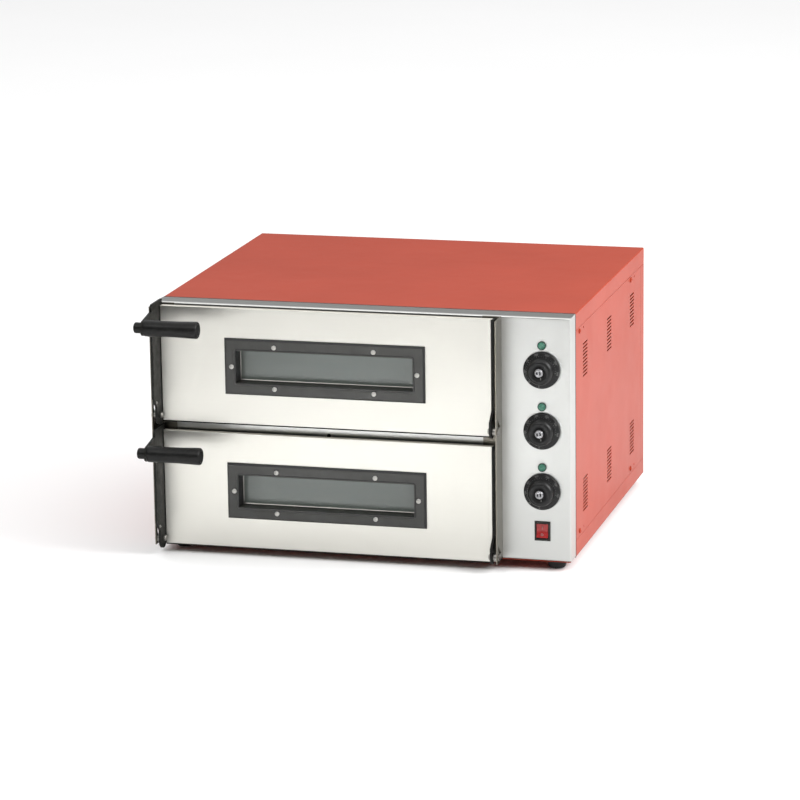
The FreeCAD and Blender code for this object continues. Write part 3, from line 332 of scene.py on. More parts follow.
def knob_plastic():
    look = Look("knob_plastic", (0.012, 0.012, 0.012), 0.33, Specular_IOR_Level=0.25)
    look.drive("Base Color", look.mix(look.span(look.noise(2.2, 5.0), 0.45, 0.8), (0.009, 0.009, 0.009),
                                      (0.020, 0.020, 0.020)))
    look.drive("Roughness", look.span(look.noise(3.0, 4.0), 0.3, 0.7, 0.27, 0.42))
    look.emboss(look.noise(0.35, 2.0), 0.018, 0.5)
    return look.material


def print_ink(name, colour):
    """Printed marks, slightly broken up."""
    look = Look(name, colour, 0.55)
    thin = tuple(part * 0.42 for part in colour)
    look.drive("Base Color", look.mix(look.span(look.noise(0.35, 3.0), 0.40, 0.62), thin, colour))
    look.drive("Roughness", look.span(look.noise(1.5, 3.0), 0.3, 0.7, 0.48, 0.62))
    return look.material


def turned_metal(name, colour, roughness):
    """Bright turned or plated metal with fine tool marks."""
    look = Look(name, colour, roughness, 1.0)
    mark = look.noise(0.6, 4.0, 0.65)
    dark = tuple(part * 0.82 for part in colour)
    look.drive("Base Color", look.mix(look.span(mark, 0.35, 0.65), dark, colour))
    look.drive("Roughness", look.span(look.noise(1.8, 4.0), 0.3, 0.7, roughness - 0.05, roughness + 0.10))
    look.emboss(mark, 0.01, 0.4)
    return look.material


def lens(name, colour, glow):
    """Tinted moulded lens: glossy outside, deep in colour."""
    look = Look(name, colour, 0.16, Specular_IOR_Level=0.3, Coat_Weight=0.3, Coat_Roughness=0.08)
    depth = look.span(look.noise(2.6, 3.0), 0.3, 0.7)
    pale = tuple(min(part * 1.6 + glow, 1.0) for part in colour)
    look.drive("Base Color", look.mix(depth, colour, pale))
    look.drive("Roughness", look.span(look.noise(1.2, 3.0), 0.3, 0.7, 0.12, 0.24))
    look.emboss(look.noise(0.8, 2.0), 0.01, 0.4)
    return look.material


def moulded(name, colour, roughness):
    look = Look(name, colour, roughness, Specular_IOR_Level=0.3)
    pale = tuple(part * 1.25 + 0.003 for part in colour)
    look.drive("Base Color", look.mix(look.span(look.noise(3.0, 4.0), 0.4, 0.8), colour, pale))
    look.drive("Roughness", look.span(look.noise(4.0, 4.0), 0.3, 0.7, roughness - 0.06, roughness + 0.08))
    look.emboss(look.noise(0.3, 2.0), 0.02, 0.5)
    return look.material


def studio_floor():
    look = Look("studio_floor", (0.92, 0.92, 0.92), 0.75, Specular_IOR_Level=0.2)
    look.drive("Base Color", look.mix(look.span(look.noise(900.0, 3.0), 0.3, 0.7), (0.915, 0.915, 0.915),
                                      (0.93, 0.93, 0.93)))
    return look.material


# Linear colours that several finishes share.
RED = (0.345, 0.044, 0.019)
STEEL = (0.62, 0.61, 0.565)

FINISH = {
    "red_paint": red_enamel(),
    "stainless": brushed_steel("panel_steel", (0.50, 0.505, 0.49), 0.34, 0, 0.12),
    "door_steel": brushed_steel("door_steel", STEEL, 0.37, 0, 0.3),
    # The hinge plates' stainless is kept dark and brownish: a painted dark reflection.
    "plate_steel": brushed_steel("plate_steel", (0.21, 0.195, 0.165), 0.36, 2, 0.6),
    "black_steel": black_coat("black_steel", (0.006, 0.006, 0.005), 0.46, 0.7),
    # The door frames' level faces are pale: painted light from above, partly a steel wrap.
    "door_ring": black_coat("door_ring", (0.006, 0.006, 0.005), 0.46, 0.7, (0.52, 0.50, 0.44)),
    "bezel_black": bezel_coat(),
    "liner_steel": aluminised_sheet(),
    # Painted shade: the bay divider is kept nearly black so the vents look dark.
    "painted_shade_sheet": painted_shade_sheet(),
    "firebrick": firebrick(),
    "heater_sheath": heater_sheath(),
    "mineral_wool": mineral_wool(),
    "oven_glass": oven_glass(),
    "silicone": rubber("silicone", (0.03, 0.03, 0.03), 0.6),
    # Painted shadow: the dark strip along the seam between shell and fascia.
    "seam": rubber("seam", (0.050, 0.012, 0.009), 0.6),
    "grip_plastic": phenolic(),
    "knob_plastic": knob_plastic(),
    "ink": print_ink("ink", (0.25, 0.25, 0.24)),
    "dim_ink": print_ink("dim_ink", (0.34, 0.26, 0.25)),
    "spindle_metal": turned_metal("spindle_metal", (0.33, 0.33, 0.34), 0.28),
    "green_lens": lens("green_lens", (0.018, 0.125, 0.075), 0.01),
    "green_rim": lens("green_rim", (0.006, 0.035, 0.022), 0.004),
    "switch_black": moulded("switch_black", (0.014, 0.013, 0.011), 0.45),
    "switch_red": lens("switch_red", (0.22, 0.012, 0.012), 0.01),
    "thermostat_case": turned_metal("thermostat_case", (0.66, 0.65, 0.60), 0.38),
    "screw_steel": turned_metal("screw_steel", (0.60, 0.59, 0.56), 0.32),
    "pin_steel": turned_metal("pin_steel", (0.30, 0.29, 0.27), 0.34),
    "foot_rubber": rubber("foot_rubber", (0.018, 0.018, 0.018)),
    "gland_plastic": moulded("gland_plastic", (0.022, 0.022, 0.022), 0.45),
    "terminal_plastic": moulded("terminal_plastic", (0.74, 0.73, 0.68), 0.5),
}
# Nodes whose finish differs from that of their record slot.
OWN_FINISH = {"left_hinge_plate": "plate_steel", "right_hinge_plate": "plate_steel",
              "lower_door_frame": "door_ring", "upper_door_frame": "door_ring",
              "bay_divider": "painted_shade_sheet"}


# ---------------------------------------------------------------- mesh helpers

def dress(obj, material):
    obj.data.materials.clear()
    obj.data.materials.append(material)


def paint_cad_nodes():
    """Every carried-over node takes the finish of its record slot, or one of its own."""
    for part in frame["record"]["subparts"]:
        node = part["node"]
        dress(frame["nodes"][node], FINISH[OWN_FINISH.get(node, part["material_slot"])])


def as_object(name, mesh, material, sharp=35.0):
    obj = bpy.data.objects.new(name, mesh)
    bpy.context.scene.collection.objects.link(obj)
    mesh.shade_smooth()
    mesh.set_sharp_from_angle(angle=math.radians(sharp))
    dress(obj, material)
    return obj


def rounded(points, radius, steps=5):
    """A profile with its inner corners turned into arcs, each as large as its two sides allow."""
    corners = [Vector(point) for point in points]
    path = [corners[0]]
    for before, corner, after in zip(corners, corners[1:], corners[2:]):
        back, ahead = before - corner, after - corner
        turn = math.pi - back.angle(ahead, math.pi)
        reach = min(radius * math.tan(turn / 2), 0.48 * back.length, 0.48 * ahead.length)
        if turn < 0.05 or reach < 1e-4:
            path.append(corner)
            continue
        start, end = corner + back.normalized() * reach, corner + ahead.normalized() * reach
        for step in range(steps + 1):
            share = step / steps
            path.append(start.lerp(corner, share).lerp(corner.lerp(end, share), share))
    path.append(corners[-1])
    return path


def finished(name, shape):
    """A mesh from a finished bmesh, which is then freed."""
    mesh = bpy.data.meshes.new(name)
    shape.to_mesh(mesh)
    shape.free()
    return mesh


def lathe_mesh(name, profile, segments=96, flutes=0, flute_depth=0.0, fluted=(0, 0)):
    """A solid turned about Z from a profile of (radius, height) in millimetres.

    Rings whose height lies in the fluted stretch are scalloped with a number of flutes.
    """
    shape = bmesh.new()
    rings = []
    for radius, height in profile:
        if radius < 1e-4:
            rings.append([shape.verts.new((0, 0, height * MM))])
            continue
        ring = []
        for index in range(segments):
            angle = 2 * math.pi * index / segments
            inset = 0.0
            if flutes and fluted[0] <= height <= fluted[1]:
                inset = flute_depth * max(0.0, math.cos(flutes * angle)) ** 2
            reach = (radius - inset) * MM
            ring.append(shape.verts.new((reach * math.cos(angle), reach * math.sin(angle), height * MM)))
        rings.append(ring)
    for lower, upper in zip(rings, rings[1:]):
        for index in range(segments):
            following = (index + 1) % segments
            around = ((lower, index), (lower, following), (upper, following), (upper, index))
            corners = [ring[i] if len(ring) > 1 else ring[0] for ring, i in around]
            corners = list(dict.fromkeys(corners))
            if len(corners) > 2:
                shape.faces.new(corners)
    for ring in (rings[0], rings[-1]):
        if len(ring) > 2:
            shape.faces.new(ring)
    bmesh.ops.recalc_face_normals(shape, faces=shape.faces)
    return finished(name, shape)


def prism_mesh(name, outline, depth, bevel=0.0, segments=3):
    """An outline of (x, y) in millimetres, extruded along Z by a depth, with rounded edges."""
    shape = bmesh.new()
    base = shape.faces.new([shape.verts.new((x * MM, y * MM, 0)) for x, y in outline])
    lifted = bmesh.ops.extrude_face_region(shape, geom=[base])["geom"]
    moved = [item for item in lifted if isinstance(item, bmesh.types.BMVert)]
    bmesh.ops.translate(shape, verts=moved, vec=(0, 0, depth * MM))
    bmesh.ops.recalc_face_normals(shape, faces=shape.faces)
    if bevel:
        sharp = [edge for edge in shape.edges if edge.calc_face_angle(0.0) > math.radians(30)]
        bmesh.ops.bevel(shape, geom=sharp, offset=bevel * MM, segments=segments, affect="EDGES",
                        profile=0.5)
    return finished(name, shape)


def merged_mesh(name, parts):
    """One mesh from several (mesh, matrix) pairs."""
    shape = bmesh.new()
    for part, matrix in parts:
        copy = part.copy()
        copy.transform(matrix)
        shape.from_mesh(copy)
        bpy.data.meshes.remove(copy)
    return finished(name, shape)


def carved_mesh(name, base, cutters):
    """The base mesh less some cutter meshes."""
    body = bpy.data.objects.new(name + "_uncut", base)
    bpy.context.scene.collection.objects.link(body)
    tools = []
    for cutter in cutters:
        tool = bpy.data.objects.new(name + "_cutter", cutter)
        bpy.context.scene.collection.objects.link(tool)
        modifier = body.modifiers.new("cut", "BOOLEAN")
        modifier.operation = "DIFFERENCE"
        modifier.solver = "EXACT"
        modifier.object = tool
        tools.append(tool)
    bpy.context.view_layer.update()
    result = bpy.data.meshes.new_from_object(body.evaluated_get(bpy.context.evaluated_depsgraph_get()))
    result.name = name
    for obj in [body] + tools:
        bpy.data.objects.remove(obj)
    return result


def box_mesh(name, low, high):
    """A plain box between two corners in millimetres."""
    outline = [(low[0], low[1]), (high[0], low[1]), (high[0], high[1]), (low[0], high[1])]
    mesh = prism_mesh(name, outline, high[2] - low[2])
    mesh.transform(Matrix.Translation((0, 0, low[2] * MM)))
    return mesh


def turned_to(direction, place, spin=0.0):
    """A matrix that carries local +Z to a direction at a place, after a spin about it."""
    aim = Vector(direction).to_track_quat("Z", "Y").to_matrix().to_4x4()
    return Matrix.Translation(place) @ aim @ Matrix.Rotation(spin, 4, "Z")


def body_of(node):
    return frame["nodes"][node]["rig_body"]


def stand_in(piece, node):
    """The piece shows instead of a CAD node, and moves with its body."""
    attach(piece, body_of(node))
    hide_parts(node)
    return piece


def trim(piece, node):
    """The piece is a detail on a CAD node, and moves with its body."""
    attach(piece, body_of(node))
    return piece


# ---------------------------------------------------------------- knobs and spindles

DIAL_NUMBERS = ("0", "50", "100", "150", "200", "250", "300", "350")
DIAL_SWEEP = math.radians(270)
DIAL_START = math.radians(-172)
FIGURE_HEIGHT = 3.4
WELD = 0.002


def number_mesh(text, height):
    """Thin figures of a height in millimetres, centred on the origin and a little proud of Z = 0."""
    curve = bpy.data.curves.new("figures", "FONT")
    curve.body = text
    curve.size = height * MM
    curve.extrude = 0.06 * MM
    curve.align_x = "CENTER"
    curve.align_y = "CENTER"
    curve.resolution_u = 3
    holder = bpy.data.objects.new("figures", curve)
    bpy.context.scene.collection.objects.link(holder)
    bpy.context.view_layer.update()
    mesh = bpy.data.meshes.new_from_object(holder.evaluated_get(bpy.context.evaluated_depsgraph_get()))
    bpy.data.objects.remove(holder)
    shape = bmesh.new()
    shape.from_mesh(mesh)
    bmesh.ops.remove_doubles(shape, verts=shape.verts, dist=WELD * MM)
    shape.to_mesh(mesh)
    shape.free()
    return mesh


def knob_pieces(place):
    """A skirted control knob: dial printing on the skirt, a dished grip and a turned spindle head."""
    node, spindle = f"{place}_knob", f"{place}_knob_spindle"
    low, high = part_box(node)
    radius = (high.x - low.x) / 2 / MM
    depth = (high.y - low.y) / MM
    base = Vector(((low.x + high.x) / 2, high.y, (low.z + high.z) / 2))
    grip = 0.72 * radius
    edge_rise, skirt_rise, dome_rise = 3.0, 4.4, 6.4
    skirt = [(0, 0), (radius - 1.2, 0), (radius, 1.0), (radius, 2.2), (radius - 0.8, edge_rise),
             (grip + 1.0, skirt_rise), (grip + 0.1, skirt_rise + 0.1), (grip - 0.1, depth - dome_rise)]
    dome = []
    for degrees in range(10, 100, 10):
        angle = math.radians(degrees)
        dome.append((grip - 5.4 + 5.3 * math.cos(angle), depth - dome_rise + dome_rise * math.sin(angle)))
    dish = [(9.6, depth - 0.5), (7.6, depth - 1.7), (6.2, depth - 2.3), (0, depth - 2.3)]
    mesh = lathe_mesh("knob", rounded(skirt, 0.9) + dome + rounded(dish, 1.0), 128)
    knob = as_object(f"{place}_knob_moulding", mesh, FINISH["knob_plastic"], 40)
    knob.matrix_world = turned_to(FORWARD, base)
    stand_in(knob, node)

    def on_skirt(share, reach, lift):
        """A matrix that lays something on the sloping skirt, its top outwards."""
        angle = DIAL_START + DIAL_SWEEP * share
        slope = math.atan2(skirt_rise - edge_rise, radius - 0.8 - grip - 1.4)
        height = edge_rise + (radius - 0.8 - reach) * math.tan(slope) + lift
        return (turned_to(FORWARD, base) @ Matrix.Rotation(-angle, 4, "Z")
                @ Matrix.Translation((0, reach * MM, height * MM)) @ Matrix.Rotation(-slope, 4, "X"))

    marks = []
    tick = box_mesh("tick", (-0.17, -0.5, 0), (0.17, 0.5, 0.12))
    long_tick = box_mesh("long_tick", (-0.25, -0.7, 0), (0.25, 0.7, 0.12))
    ticks_apart = 4
    steps = ticks_apart * (len(DIAL_NUMBERS) - 1)
    for step in range(steps + 1):
        kind = long_tick if step % ticks_apart == 0 else tick
        marks.append((kind, on_skirt(step / steps, grip + 1.75, -0.04)))
    for index, text in enumerate(DIAL_NUMBERS):
        share = index / (len(DIAL_NUMBERS) - 1)
        marks.append((number_mesh(text, FIGURE_HEIGHT), on_skirt(share, radius - 2.5, 0.0)))
    # A short pale pointer on the dish beside the cap; it also serves as a painted reflection of the cap
    # there.
    pointer_glint = box_mesh("pointer_glint", (-0.6, -1.5, 0), (0.6, 1.5, 0.12))
    tip = turned_to(FORWARD, base) @ Matrix.Rotation(math.radians(14), 4, "Z")
    tip = tip @ Matrix.Translation((0, -8.4 * MM, (depth - 1.25) * MM)) @ Matrix.Rotation(-0.5, 4, "X")
    marks.append((pointer_glint, tip))
    printing = as_object(f"{place}_knob_marks", merged_mesh("marks", marks), FINISH["ink"])
    trim(printing, node)
    return spindle_piece(place, spindle, base, depth)


def spindle_piece(place, node, base, depth):
    """The spindle: a head with two half-moon pockets, a dark disc under them as painted shade at their
    floor, and the bar behind them.
    """
    low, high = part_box(node)
    radius = (high.x - low.x) / 2 / MM
    head = (base.y - low.y) / MM
    tail = (base.y - high.y) / MM
    profile = [(0, tail), (2.9, tail), (2.9, depth - 2.3), (radius, depth - 2.3), (radius, head - 0.9),
               (radius - 0.9, head), (0, head)]
    disc = lathe_mesh("spindle_head", rounded(profile, 0.5, 3), 64)
    pocket_outline = [(0.9, -2.3), (2.2, -2.3), (3.2, -1.2), (3.2, 1.2), (2.2, 2.3), (0.9, 2.3)]
    pocket_depth = 2.4
    pocket = prism_mesh("pocket", pocket_outline, pocket_depth + 1.0)
    pocket.transform(Matrix.Translation((0, 0, (head - pocket_depth) * MM)))
    pockets = []
    for turn in (0, 180):
        cutter = pocket.copy()
        cutter.transform(Matrix.Rotation(math.radians(turn), 4, "Z"))
        pockets.append(cutter)
    mesh = carved_mesh("slotted_head", disc, pockets)
    piece = as_object(f"{place}_spindle_head", mesh, FINISH["spindle_metal"], 30)
    piece.matrix_world = turned_to(FORWARD, base, math.radians(6))
    stand_in(piece, node)
    # Painted shade: a dark disc at the pockets' floor makes them read deep.
    shade_disc_profile = [(0, head - 2.5), (3.5, head - 2.5), (3.5, head - 1.5), (0, head - 1.5)]
    disc = lathe_mesh("pocket_shade_disc", shade_disc_profile, 48)
    floor = as_object(f"{place}_spindle_pocket_shade", disc, FINISH["knob_plastic"])
    floor.matrix_world = piece.matrix_world
    return trim(floor, node)


def pilot_piece(place):
    """A pilot lamp: a domed lens with moulded rings on a short threaded body."""
    node = f"{place}_pilot_light"
    low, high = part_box(node)
    radius = (high.x - low.x) / 2 / MM
    rim = Vector(((low.x + high.x) / 2, low.y, (low.z + high.z) / 2))
    dome = 3.6
    rings = 5
    profile = [(0, 0.12)]
    lens_radius = 0.82 * radius
    for ring in range(rings):
        inner = lens_radius * ring / rings
        outer = lens_radius * (ring + 1) / rings
        drop = dome * 0.55 * (outer / radius) ** 2
        profile += [(inner + 0.14, drop * 0.92 + 0.12), (outer - 0.10, drop + 0.02), (outer, drop + 0.22)]
    profile += [(radius - 0.35, 2.1), (radius, 2.9), (radius, dome), (4.5, dome), (4.5, 19.0), (2.4, 19.2),
                (2.4, 24.0), (0, 24.0)]
    mesh = lathe_mesh("lamp", rounded(profile, 0.25, 3), 72)
    piece = as_object(f"{place}_pilot_lens", mesh, FINISH["green_lens"], 30)
    piece.matrix_world = turned_to(-FORWARD, rim)
    stand_in(piece, node)
    rim_profile = [(radius - 1.5, 2.2), (radius - 1.2, 1.0), (radius - 0.5, 0.9), (radius, 1.8),
                   (radius, dome), (radius - 1.5, dome), (radius - 1.5, 2.2)]
    mesh = lathe_mesh("pilot_rim", rim_profile, 72)
    ring = as_object(f"{place}_pilot_rim", mesh, FINISH["green_rim"], 35)
    ring.matrix_world = turned_to(-FORWARD, rim)
    return trim(ring, node)


# ---------------------------------------------------------------- switch

def rocker_piece():
    """The rocker: a dished, softly rounded key with on and off marks let into its face."""
    node = "switch_rocker"
    joint = next(item for item in frame["joints"] if item["child"] == body_of(node))
    pivot = Vector(joint["pos_m"])
    low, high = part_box("switch_housing")
    tilt = -math.radians(joint["range_deg"][1]) / 2
    width, half, reach, dish = 15.4, 9.2, 7.5, 1.9
    face = []
    steps = 12
    for step in range(steps + 1):
        along = -half + 2 * half * step / steps
        face.append((along, reach - dish * math.cos(along / half * math.pi / 2)))
    outline = face + [(half - 0.3, 2.2), (2.4, -2.4), (-2.4, -2.4), (-half + 0.3, 2.2)]
    mesh = prism_mesh("rocker", outline, width, 0.55)
    mesh.transform(Matrix.Translation((0, 0, -width / 2 * MM)))
    # Local X runs up the key, local Y out of the panel and local Z across it.
    basis = Matrix(((0, 0, 1, 0), (0, -1, 0, 0), (1, 0, 0, 0), (0, 0, 0, 1)))
    lay = Matrix.Translation(pivot) @ Matrix.Rotation(tilt, 4, "X") @ basis
    mesh.transform(lay)
    pin = lathe_mesh("trunnion", [(0, -8.8), (1.45, -8.8), (1.45, 8.8), (0, 8.8)], 32)
    pin.transform(turned_to((1, 0, 0), pivot))
    piece = as_object("switch_key", merged_mesh("switch_key", [(mesh, Matrix()), (pin, Matrix())]),
                      FINISH["switch_red"], 40)
    stand_in(piece, node)
    mark_share, slope = 0.55, 0.21
    depth = reach - dish * math.cos(mark_share * math.pi / 2)
    bar = box_mesh("bar", (-1.9, depth - 0.35, -0.35), (1.9, depth + 0.12, 0.35))
    bar.transform(lay @ Matrix.Translation((mark_share * half * MM, 0, 0)) @ Matrix.Rotation(slope, 4, "Z"))
    ring = lathe_mesh("ring", [(1.15, -0.25), (1.15, 0.12), (1.75, 0.12), (1.75, -0.25)], 40)
    seat = Matrix.Translation((-mark_share * half * MM, depth * MM, 0)) @ Matrix.Rotation(-slope, 4, "Z")
    ring.transform(lay @ seat @ Matrix.Rotation(math.radians(-90), 4, "X"))
    marks = as_object("switch_marks", merged_mesh("switch_marks", [(bar, Matrix()), (ring, Matrix())]),
                      FINISH["dim_ink"])
    return trim(marks, node)


# ---------------------------------------------------------------- screws

def pan_screw(name, radius, height, shank=5.5):
    """A pan-head screw with a cross recess: its seat at Z = 0 and its head towards +Z."""
    dome = [(0, height)]
    dome += [(radius * math.sin(angle), height * (0.42 + 0.58 * math.cos(angle)))
             for angle in map(math.radians, (18, 34, 50, 64, 76, 86))]
    profile = dome + [(radius, height * 0.34), (radius * 0.985, 0), (1.55, 0), (1.55, 0.8 - shank),
                      (0.6, -shank), (0, -shank)]
    blank = lathe_mesh(name, profile, 48)
    cutters = []
    reach, blade, taper = 0.56 * radius, 0.22 * radius, 0.62
    for across in (False, True):
        size = (reach, blade) if across else (blade, reach)
        cutter = box_mesh("recess", (-size[0], -size[1], 0.38 * height), (size[0], size[1], height + 1))
        for vertex in cutter.vertices:
            if vertex.co.z < height * 0.5 * MM:
                vertex.co.x *= taper
                vertex.co.y *= taper
        cutters.append(cutter)
    return carved_mesh(name, blank, cutters)


def window_screw_pieces(deck):
    """Six screws on the window frame's face, each with its recess turned its own way."""
    node = f"{deck}_window_screws"
    low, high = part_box(f"{deck}_window_frame")
    middle = (low + high) / 2
    first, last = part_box(node)
    radius, height = 3.15, 2.2
    half_width = (last.x - first.x) / 2 - radius * MM
    half_height = (last.z - first.z) / 2 - radius * MM
    rail = 67.5 * MM
    head = pan_screw("window_screw", radius, height)
    spots = [(side * half_width, 0.0) for side in (-1, 1)]
    spots += [(side * rail, end * half_height) for side in (-1, 1) for end in (-1, 1)]
    turns = random.Random(7)
    parts = [(head, turned_to(FORWARD, (middle.x + x, low.y, middle.z + z), turns.uniform(0, 1.5)))
             for x, z in spots]
    piece = as_object(f"{deck}_frame_screws", merged_mesh(node, parts), FINISH["screw_steel"], 28)
    return stand_in(piece, node)


def panel_screw_pieces():
    """The shell's screws, four on each side panel and six on the rear panel."""
    low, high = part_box("base_pan")
    front_inset, back_inset, rear_inset = 50 * MM, 385 * MM, 40 * MM
    low_rise, high_rise = 30 * MM, 299 * MM
    side_y = [low.y + front_inset, low.y + back_inset]
    heights = [low.z + low_rise, low.z + high_rise]
    rear_x = [low.x + rear_inset, (low.x + high.x) / 2, high.x - rear_inset]
    head = pan_screw("panel_screw", 3.4, 1.9)
    turns = random.Random(11)
    side_spots = [((x, y, z), (side, 0, 0)) for x, side in ((low.x, -1), (high.x, 1)) for y in side_y
                  for z in heights]
    rear_spots = [((x, high.y, z), (0, 1, 0)) for x in rear_x for z in heights]
    painted, bare = [[(head, turned_to(way, spot, turns.uniform(0, 1.5))) for spot, way in spots]
                     for spots in (side_spots, rear_spots)]
    rear = as_object("rear_screws", merged_mesh("rear_screws", bare), FINISH["screw_steel"], 28)
    sides = as_object("side_screws", merged_mesh("side_screws", painted), FINISH["red_paint"], 28)
    trim(sides, "panel_screws")
    return stand_in(rear, "panel_screws")


# ---------------------------------------------------------------- window trim, rivets and painted seam shadow

def hoop_mesh(name, width, height, section, corner=1.5):
    """A rectangular hoop about Z: a closed section of (outward, along Z) swept round rounded corners.

    Width and height are those of the opening inside it, all in millimetres.
    """
    shape = bmesh.new()
    rings = []
    for quarter, (side, end) in enumerate(((1, 1), (-1, 1), (-1, -1), (1, -1))):
        centre = (side * (width / 2 - corner), end * (height / 2 - corner))
        for step in range(5):
            angle = math.radians(90 * quarter + 22.5 * step)
            out = (math.cos(angle), math.sin(angle))
            rings.append([shape.verts.new(((centre[0] + (corner + reach) * out[0]) * MM,
                                           (centre[1] + (corner + reach) * out[1]) * MM, rise * MM))
                          for reach, rise in section])
    for ring, following in zip(rings, rings[1:] + rings[:1]):
        for index in range(len(section)):
            after = (index + 1) % len(section)
            shape.faces.new((ring[index], ring[after], following[after], following[index]))
    bmesh.ops.recalc_face_normals(shape, faces=shape.faces)
    return finished(name, shape)


def window_trim_pieces(deck):
    """A raised lip round the window's opening, and the thin steel bead that holds the glass."""
    frame_node, glass_node = f"{deck}_window_frame", f"{deck}_window_glass"
    low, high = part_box(frame_node)
    glass_low, glass_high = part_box(glass_node)
    middle = (low + high) / 2
    margin = 6.0
    width = (glass_high.x - glass_low.x) / MM - 2 * margin
    height = (glass_high.z - glass_low.z) / MM - 2 * margin
    lip_section = [(0.0, -0.4), (0.0, 0.5), (0.5, 0.9), (1.7, 0.9), (2.3, 0.3), (2.5, -0.4)]
    mesh = hoop_mesh("lip", width, height, lip_section)
    lip = as_object(f"{deck}_window_lip", mesh, FINISH["bezel_black"])
    lip.matrix_world = turned_to(FORWARD, (middle.x, low.y, middle.z))
    trim(lip, frame_node)
    bead_section = [(-1.6, 0.2), (-1.4, 1.2), (-0.7, 1.7), (-0.05, 1.4), (-0.05, 0.2)]
    mesh = hoop_mesh("bead", width, height, bead_section)
    bead = as_object(f"{deck}_glass_bead", mesh, FINISH["pin_steel"])
    bead.matrix_world = turned_to(FORWARD, (middle.x, glass_low.y, middle.z))
    return trim(bead, frame_node)


def arm_rivet_piece(deck):
    """The rivet on the grip arm's inner face, above the hinge."""
    node = f"{deck}_left_arm"
    low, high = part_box(node)
    head = lathe_mesh("rivet", [(2.1, -0.3), (2.1, 0.3), (1.8, 0.9), (1.1, 1.3), (0, 1.4)], 40)
    rivet = as_object(f"{deck}_arm_rivet", head, FINISH["pin_steel"], 40)
    from_rear, rise = 33.5 * MM, 33.0 * MM
    rivet.matrix_world = turned_to((1, 0, 0), (high.x, high.y - from_rear, low.z + rise))
    return trim(rivet, node)


def rail_screw_piece():
    """The small blackened screw in the fascia's rail between the doors."""
    low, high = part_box("lower_door_skin")
    drop = 0.5 * MM
    place = ((low.x + high.x) / 2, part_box("front_fascia")[0].y, high.z - drop)
    screw = as_object("rail_screw", pan_screw("rail_screw", 2.5, 1.3), FINISH["black_steel"], 28)
    screw.matrix_world = turned_to(FORWARD, place)
    return trim(screw, "front_fascia")


def painted_seam_shadow_piece():
    """A thin dark strip where the red shell meets the steel fascia: a painted shadow of the gap between
    them.
    """
    low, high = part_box("front_fascia")
    cover_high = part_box("top_cover")[1]
    base_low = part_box("base_pan")[0]
    across = (high.x - low.x) / MM
    tall = (cover_high.z - base_low.z) / MM
    # The strip stands a little proud and carries the seam's painted shadow.
    shadow_strip_width, proud = 2.2, 0.25
    section = [(-0.4, 0.0), (proud * 0.7, 0.0), (proud, 0.4), (proud, shadow_strip_width - 0.4),
               (proud * 0.7, shadow_strip_width), (-0.4, shadow_strip_width)]
    mesh = hoop_mesh("seam_shadow_strip", across, tall, section, 1.6)
    piece = as_object("seam_shadow_strip", mesh, FINISH["seam"])
    place = Vector(((low.x + high.x) / 2, high.y, (cover_high.z + base_low.z) / 2))
    piece.matrix_world = turned_to(-FORWARD, place)
    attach(piece, "root")
    return piece


# ---------------------------------------------------------------- grips, feet and gland

def grip_piece(deck):
    """The moulded grip: slightly waisted, flared at its free end, with a dished end face."""
    node = f"{deck}_grip"
    low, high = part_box(node)
    length = (high.x - low.x) / MM
    radius = (high.z - low.z) / 2 / MM
    start = Vector((low.x, (low.y + high.y) / 2, (low.z + high.z) / 2))
    profile = [(3.1, 0), (radius - 1.4, 0), (radius - 0.5, 1.2)]
    steps = 12
    for step in range(1, steps):
        share = step / steps
        waist = 0.55 * math.sin(math.pi * share) ** 2
        profile.append((radius - 0.45 - waist + 0.45 * share ** 3, 1.2 + (length - 5.0) * share))
    profile += [(radius, length - 3.4), (radius - 0.25, length - 1.3), (radius - 1.6, length - 0.15),
                (radius - 2.8, length), (radius - 3.6, length - 0.35), (radius - 4.3, length - 1.3),
                (0, length - 1.3)]
    mesh = lathe_mesh("grip", rounded(profile, 1.2, 4), 96)
    piece = as_object(f"{deck}_handle", mesh, FINISH["grip_plastic"], 40)
    piece.matrix_world = turned_to((1, 0, 0), start)
    return stand_in(piece, node)


def grip_bolt_piece(deck):
    """The bolt's domed cap outside the arm and its threaded shank inside the grip."""
    node = f"{deck}_grip_bolt"
    low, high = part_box(node)
    radius = (high.z - low.z) / 2 / MM
    length = (high.x - low.x) / MM
    start = Vector((low.x, (low.y + high.y) / 2, (low.z + high.z) / 2))
    cap = 11.0
    profile = [(0, 0), (radius - 2.2, 0), (radius - 0.5, 0.9), (radius, 2.4), (radius - 0.1, cap - 0.8),
               (radius - 0.6, cap), (2.9, cap), (2.9, length), (0, length)]
    mesh = lathe_mesh("grip_bolt", rounded(profile, 0.9, 4), 72)
    piece = as_object(f"{deck}_grip_cap", mesh, FINISH["grip_plastic"], 40)
    piece.matrix_world = turned_to((1, 0, 0), start)
    return stand_in(piece, node)


